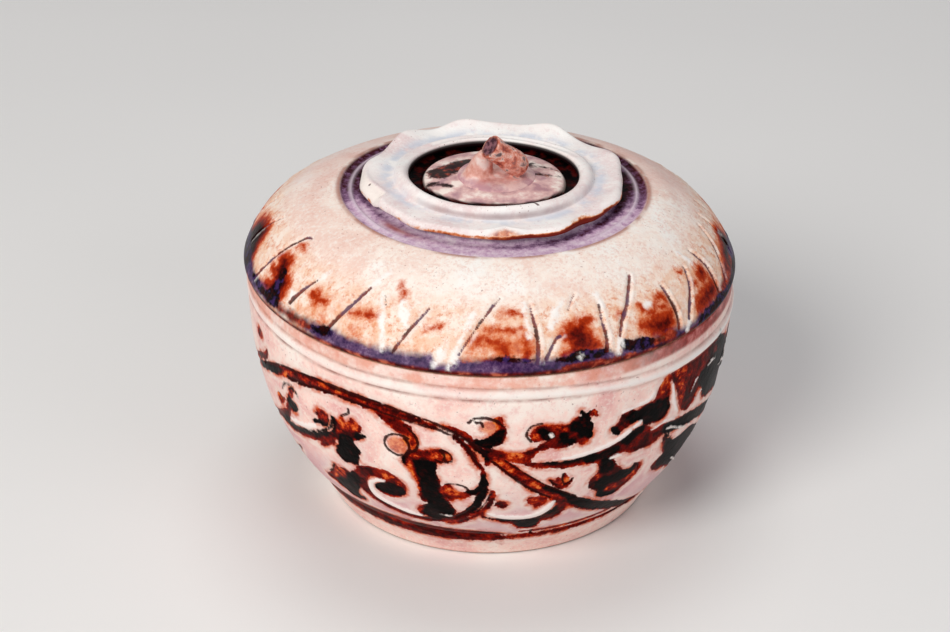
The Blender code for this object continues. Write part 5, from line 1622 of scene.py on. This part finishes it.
def calyx_corners(turn):
    """How far the plate reaches out and rises by azimuth."""
    reach, lift = np.zeros_like(turn), np.zeros_like(turn)
    for azimuth, out, up, width in CORNERS:
        peak = hill(signed_angle(turn - azimuth), 0.0, width)
        reach += out * peak
        lift += up * peak
    reach += 0.25 * np.sin(np.radians(7 * turn + 20)) + 0.18 * np.sin(np.radians(17 * turn))
    lift += 0.25 * np.sin(np.radians(5 * turn + 70)) + 0.2 * np.sin(np.radians(13 * turn))
    return reach[None, :], lift[None, :]


def bead_rise(across, above, turn):
    """How much the bead stands higher at the front and lower at the back."""
    on_bead = hill(across, CALYX_HOLE + 2.2, 1.8) * (above > 1.0)
    low_back = smooth_step(np.abs(turn), 70, 140)[None, :]
    high_front = smooth_step(80 - np.abs(turn), 0, 50)[None, :]
    uneven = 0.3 * np.sin(np.radians(4 * turn + 30))[None, :]
    return on_bead * (uneven + FRONT_BEAD_RISE * high_front - BACK_BEAD_DROP * low_back)


def calyx_fields(across, above, turn, top, past, pinhole):
    """The calyx's glaze: hollow, worn rim, seam, painted shade underneath, painted light on the tab, and
    marks.
    """
    slant = np.abs(turn[None, :] - CRACK_TURN - CRACK_SLANT * (across - CALYX_HOLE))
    inner = (across < CALYX_HOLE + 0.9) * smooth_step(2.9 - above, 0.0, 0.9)
    # painted shade under the plate
    under = (1 - top) * smooth_step(38.3 - across, 0.0, 0.8) * (above < 0.9)
    rim = smooth_step(1.5 - above, 0.0, 1.4) * (across > 37.4) * around(turn, RUST_EDGE)[None, :]
    worn = (above > 0.4) * smooth_step(across, *WORN_REACH) * hill(turn, *WORN_TURN)[None, :]
    front = smooth_step(60 - np.abs(turn), 0, 30)[None, :]
    on_tab = (turn < TAB_END)[None, :]
    fields = {
        "hollow": top * hill(across, 32.0, 1.9),
        "rim": rim + WORN_TOP * worn,
        "seam": top * hill(across, BEAD_END - 0.2, 0.45) * front,
        "under": np.maximum(under, inner),
        "crack": np.where((across < CALYX_HOLE + 3.3) & (above > 2.0), 0.4 - slant * 0.5, FAR),
        # painted light on the tab's face past its crease
        "tab": smooth_step(past, 0.05, 0.6) * on_tab,
        "pinch": smooth_step(past, 0.4, 2.6) * ~on_tab,
        "pinhole": pinhole,
    }
    return {key: (values * np.ones_like(top)).ravel() for key, values in fields.items()}


def make_calyx():
    """A bead round the hole and a thin plate, drawn out and up at each pinched corner."""
    turn = np.linspace(-180, 180, CALYX_COLUMNS, endpoint=False)
    reach, lift = calyx_corners(turn)
    section, top_rows = calyx_section()
    across, above = section[:, :1], section[:, 1:]
    share = np.clip((across - BEAD_END) / (CALYX_RADIUS - BEAD_END), 0, 1.1)
    radius = across + share * reach
    height = CALYX_BASE + above + share**1.7 * lift + bead_rise(across, above, turn)
    top = (np.arange(len(section)) < top_rows)[:, None] * np.ones_like(radius)
    crease = np.minimum(around(turn, TAB), around(turn, PINCH))[None, :]
    past = np.maximum(radius - crease, 0.0)
    slope = np.where(turn < TAB_END, TAB_SLOPE, PINCH_SLOPE)[None, :]
    height = height - slope * past + CREASE_RISE * top * hill(radius, crease, 0.9)
    hole_gap = np.hypot(np.radians(turn - PINHOLE[0])[None, :] * radius, radius - PINHOLE[1])
    pinhole = np.where(top > 0, PINHOLE[2] - hole_gap, FAR)
    height = height - PINHOLE_DEPTH * smooth_step(pinhole, -0.3, 0.3)
    points = about_axis(radius, turn, height).reshape(-1, 3)
    faces = grid_faces(*radius.shape, closed_rows=True)
    fields = calyx_fields(across, above, turn, top, past, pinhole)
    piece = new_piece("calyx_glazed", points, faces, fields, calyx_material())
    finish_piece(piece, "calyx_collar", "lid")


# Stem

STEM_BASE = STEM_SEAT + SEAT_GAP
STEM_VOXEL = 0.28
STEM_SMOOTHING = 7
TWIG_LOW = np.array((8.6, -2.0, STEM_BASE + 3.3))
TWIG_CUT = np.array((-1.1, -6.2, STEM_BASE + 12.1))
TWIG_RADIUS = 3.5
TWIG_SWELL = [0.8, 1.06, 1.12, 1.08, 1.02, 1.0, 1.05, 1.08]
# Rings of the mound and of the stalk: x, y, height above the seat and radius
MOUND = [(0.8, 0, -0.7, 11.9), (0.8, 0, 0, 11.7), (0.6, -0.2, 0.7, 9.6), (-0.4, -0.4, 1.2, 6.6)]
STALK_RINGS = [(-4.6, -1.2, 0, 5.4), (-4.4, -1.3, 2, 4.3), (-3.8, -1.8, 4.5, 3.5), (-3.1, -2.6, 6.8, 3.0),
               (-1.9, -4.0, 9.2, 2.5)]
CUT_END_HOLLOW = 0.5


def loft(rings, steps=28):
    """A closed tube through rings given as (centre, axis, radius)."""
    points = []
    for centre, axis, radius in rings:
        axis = np.array(axis, float) / np.linalg.norm(axis)
        side = np.cross(axis, (0.0, 1.0, 0.0))
        side /= np.linalg.norm(side)
        other = np.cross(axis, side)
        for k in range(steps):
            turn = math.tau * k / steps
            points.append(np.array(centre) + radius * (math.cos(turn) * side + math.sin(turn) * other))
    faces = grid_faces(len(rings), steps)[:, [0, 3, 2, 1]].tolist()
    faces.append(list(reversed(range(steps))))
    faces.append(list(range((len(rings) - 1) * steps, len(rings) * steps)))
    return points, faces


def upright(rings):
    """Level rings, from the seat up."""
    return [((x, y, STEM_BASE + rise), (0.0, 0.0, 1.0), radius) for x, y, rise, radius in rings]


def stem_lumps():
    """The stem's three lumps of clay: a low mound, a stalk and a twig laid across it."""
    axis = TWIG_CUT - TWIG_LOW
    last = len(TWIG_SWELL) - 1
    twig = [(TWIG_LOW + axis * k / last, axis, TWIG_RADIUS * size) for k, size in enumerate(TWIG_SWELL)]
    return loft(upright(MOUND), 64), loft(upright(STALK_RINGS)), loft(twig)


def melted(points, faces):
    """Lumps of clay joined into one smooth skin, as its points and faces."""
    rough = bpy.data.meshes.new("stem_rough")
    rough.from_pydata([tuple(p) for p in points], [], faces)
    lumps = bpy.data.objects.new("stem_rough", rough)
    bpy.context.scene.collection.objects.link(lumps)
    melt = lumps.modifiers.new("melt", "REMESH")
    melt.mode = "VOXEL"
    melt.voxel_size = STEM_VOXEL
    soften = lumps.modifiers.new("soften", "SMOOTH")
    soften.factor = 0.5
    soften.iterations = STEM_SMOOTHING
    bpy.context.view_layer.update()
    skin = bpy.data.meshes.new_from_object(lumps.evaluated_get(bpy.context.evaluated_depsgraph_get()))
    bpy.data.objects.remove(lumps)
    flat = np.empty(len(skin.vertices) * 3, np.float32)
    skin.vertices.foreach_get("co", flat)
    return flat.reshape(-1, 3).astype(float), [list(face.vertices) for face in skin.polygons]


def make_stem():
    """The lumps are melted into one skin, and the twig's end is cut and marked."""
    points, faces = [], []
    for lump, sides in stem_lumps():
        faces += [[i + len(points) for i in side] for side in sides]
        points += lump
    points, faces = melted(points, faces)
    axis = TWIG_CUT - TWIG_LOW
    along = (points - TWIG_LOW) @ axis / (axis @ axis)
    nearest = TWIG_LOW + np.clip(along, 0, 1)[:, None] * axis
    off = np.linalg.norm(points - nearest, axis=1)
    ring = np.linalg.norm(points - TWIG_LOW - along[:, None] * axis, axis=1)
    end = smooth_step(along, 0.965, 0.99) * (ring < 2.9)
    points -= (end * CUT_END_HOLLOW * hill(ring, 0.0, 1.6))[:, None] * axis / np.linalg.norm(axis)
    fields = {
        "twig": smooth_step(4.5 - off, 0.0, 1.0),
        "cut_end": end,
        "cut_rim": smooth_step(along, 0.95, 0.98) * hill(ring, 3.1, 0.35),
        "foot": smooth_step(STEM_BASE + 1.7 - points[:, 2], 0.0, 1.4),
    }
    piece = new_piece("stem_glazed", points, faces, fields, stem_material())
    finish_piece(piece, "stem_knob", "lid")


# Stage, in metres

CAMERA_RANGE = 700.0  # mm
CAMERA_ELEVATION = 28.63
CAMERA_TARGET = 60.0  # mm above the ground
FOCAL_PIXELS = 2255.8
IMAGE_WIDTH = 950
IMAGE_HEIGHT = 632
AXIS_PIXEL = (489.8, 300.0)  # where the target falls in the picture
FLOOR_HALF = 3.0
FLOOR_TONES = ((240, 239, 237), (245, 244, 242))
LIGHT_TARGET = Vector((0, 0, 0.06))
WORLD_COLOUR = (0.94, 0.95, 1.0, 1.0)
WORLD_STRENGTH = 0.22
# Name, place, size, power and colour
LIGHTS = [
    ("key", (-0.75, -1.05, 1.05), 0.8, 17, (1.0, 0.98, 0.95)),
    ("top", (0.0, 0.35, 1.3), 0.7, 4, (1.0, 0.98, 0.97)),
    ("fill", (0.95, -0.7, 0.5), 0.7, 2.5, (0.94, 0.95, 1.0)),
]


def make_camera():
    """A camera at the photograph's angle and distance."""
    data = bpy.data.cameras.new("camera")
    data.sensor_width = 36.0
    data.lens = FOCAL_PIXELS * data.sensor_width / IMAGE_WIDTH
    data.shift_x = (IMAGE_WIDTH / 2 - AXIS_PIXEL[0]) / IMAGE_WIDTH
    data.shift_y = (AXIS_PIXEL[1] - IMAGE_HEIGHT / 2) / IMAGE_WIDTH
    camera = bpy.data.objects.new("camera", data)
    tilt = math.radians(CAMERA_ELEVATION)
    back = Vector((0.0, -math.cos(tilt), math.sin(tilt)))
    camera.location = (Vector((0.0, 0.0, CAMERA_TARGET)) + back * CAMERA_RANGE) * MM
    camera.rotation_euler = (-back).to_track_quat("-Z", "Y").to_euler()
    bpy.context.scene.collection.objects.link(camera)
    bpy.context.scene.camera = camera


def make_floor():
    """A wide plain floor with a faint unevenness of tone."""
    g = Graph("floor")
    colour = g.mix(g.patches(400, 0.3, 0.7, 2), *FLOOR_TONES)
    material = g.finish(colour, g.scale(g.noise(60, 3), 0.7, 0.8), [(g.noise(5, 2), 0.02)])
    mesh = bpy.data.meshes.new("floor")
    sides = [(-1, -1), (1, -1), (1, 1), (-1, 1)]
    mesh.from_pydata([(x * FLOOR_HALF, y * FLOOR_HALF, 0) for x, y in sides], [], [(0, 1, 2, 3)])
    mesh.materials.append(material)
    floor = bpy.data.objects.new("floor", mesh)
    bpy.context.scene.collection.objects.link(floor)


def make_lights():
    """Soft round lights that face the jar, and a faint cool sky."""
    for name, place, size, power, colour in LIGHTS:
        data = bpy.data.lights.new(name, "AREA")
        data.shape = "DISK"
        data.size = size
        data.energy = power
        data.color = colour
        light = bpy.data.objects.new(name, data)
        light.location = place
        light.rotation_euler = (LIGHT_TARGET - Vector(place)).to_track_quat("-Z", "Y").to_euler()
        bpy.context.scene.collection.objects.link(light)
    world = bpy.data.worlds.new("studio")
    world.use_nodes = True
    shade = world.node_tree.nodes["Background"]
    shade.inputs["Color"].default_value = WORLD_COLOUR
    shade.inputs["Strength"].default_value = WORLD_STRENGTH
    bpy.context.scene.world = world


jar_glaze = jar_material()
make_jar_wall(jar_glaze)
make_jar_inside(jar_glaze)
lid_glaze = lid_material()
make_lid_top(lid_glaze)
make_lid_inside(lid_glaze)
make_calyx()
make_stem()
make_camera()
make_floor()
make_lights()
bpy.context.scene.view_settings.view_transform = "Standard"
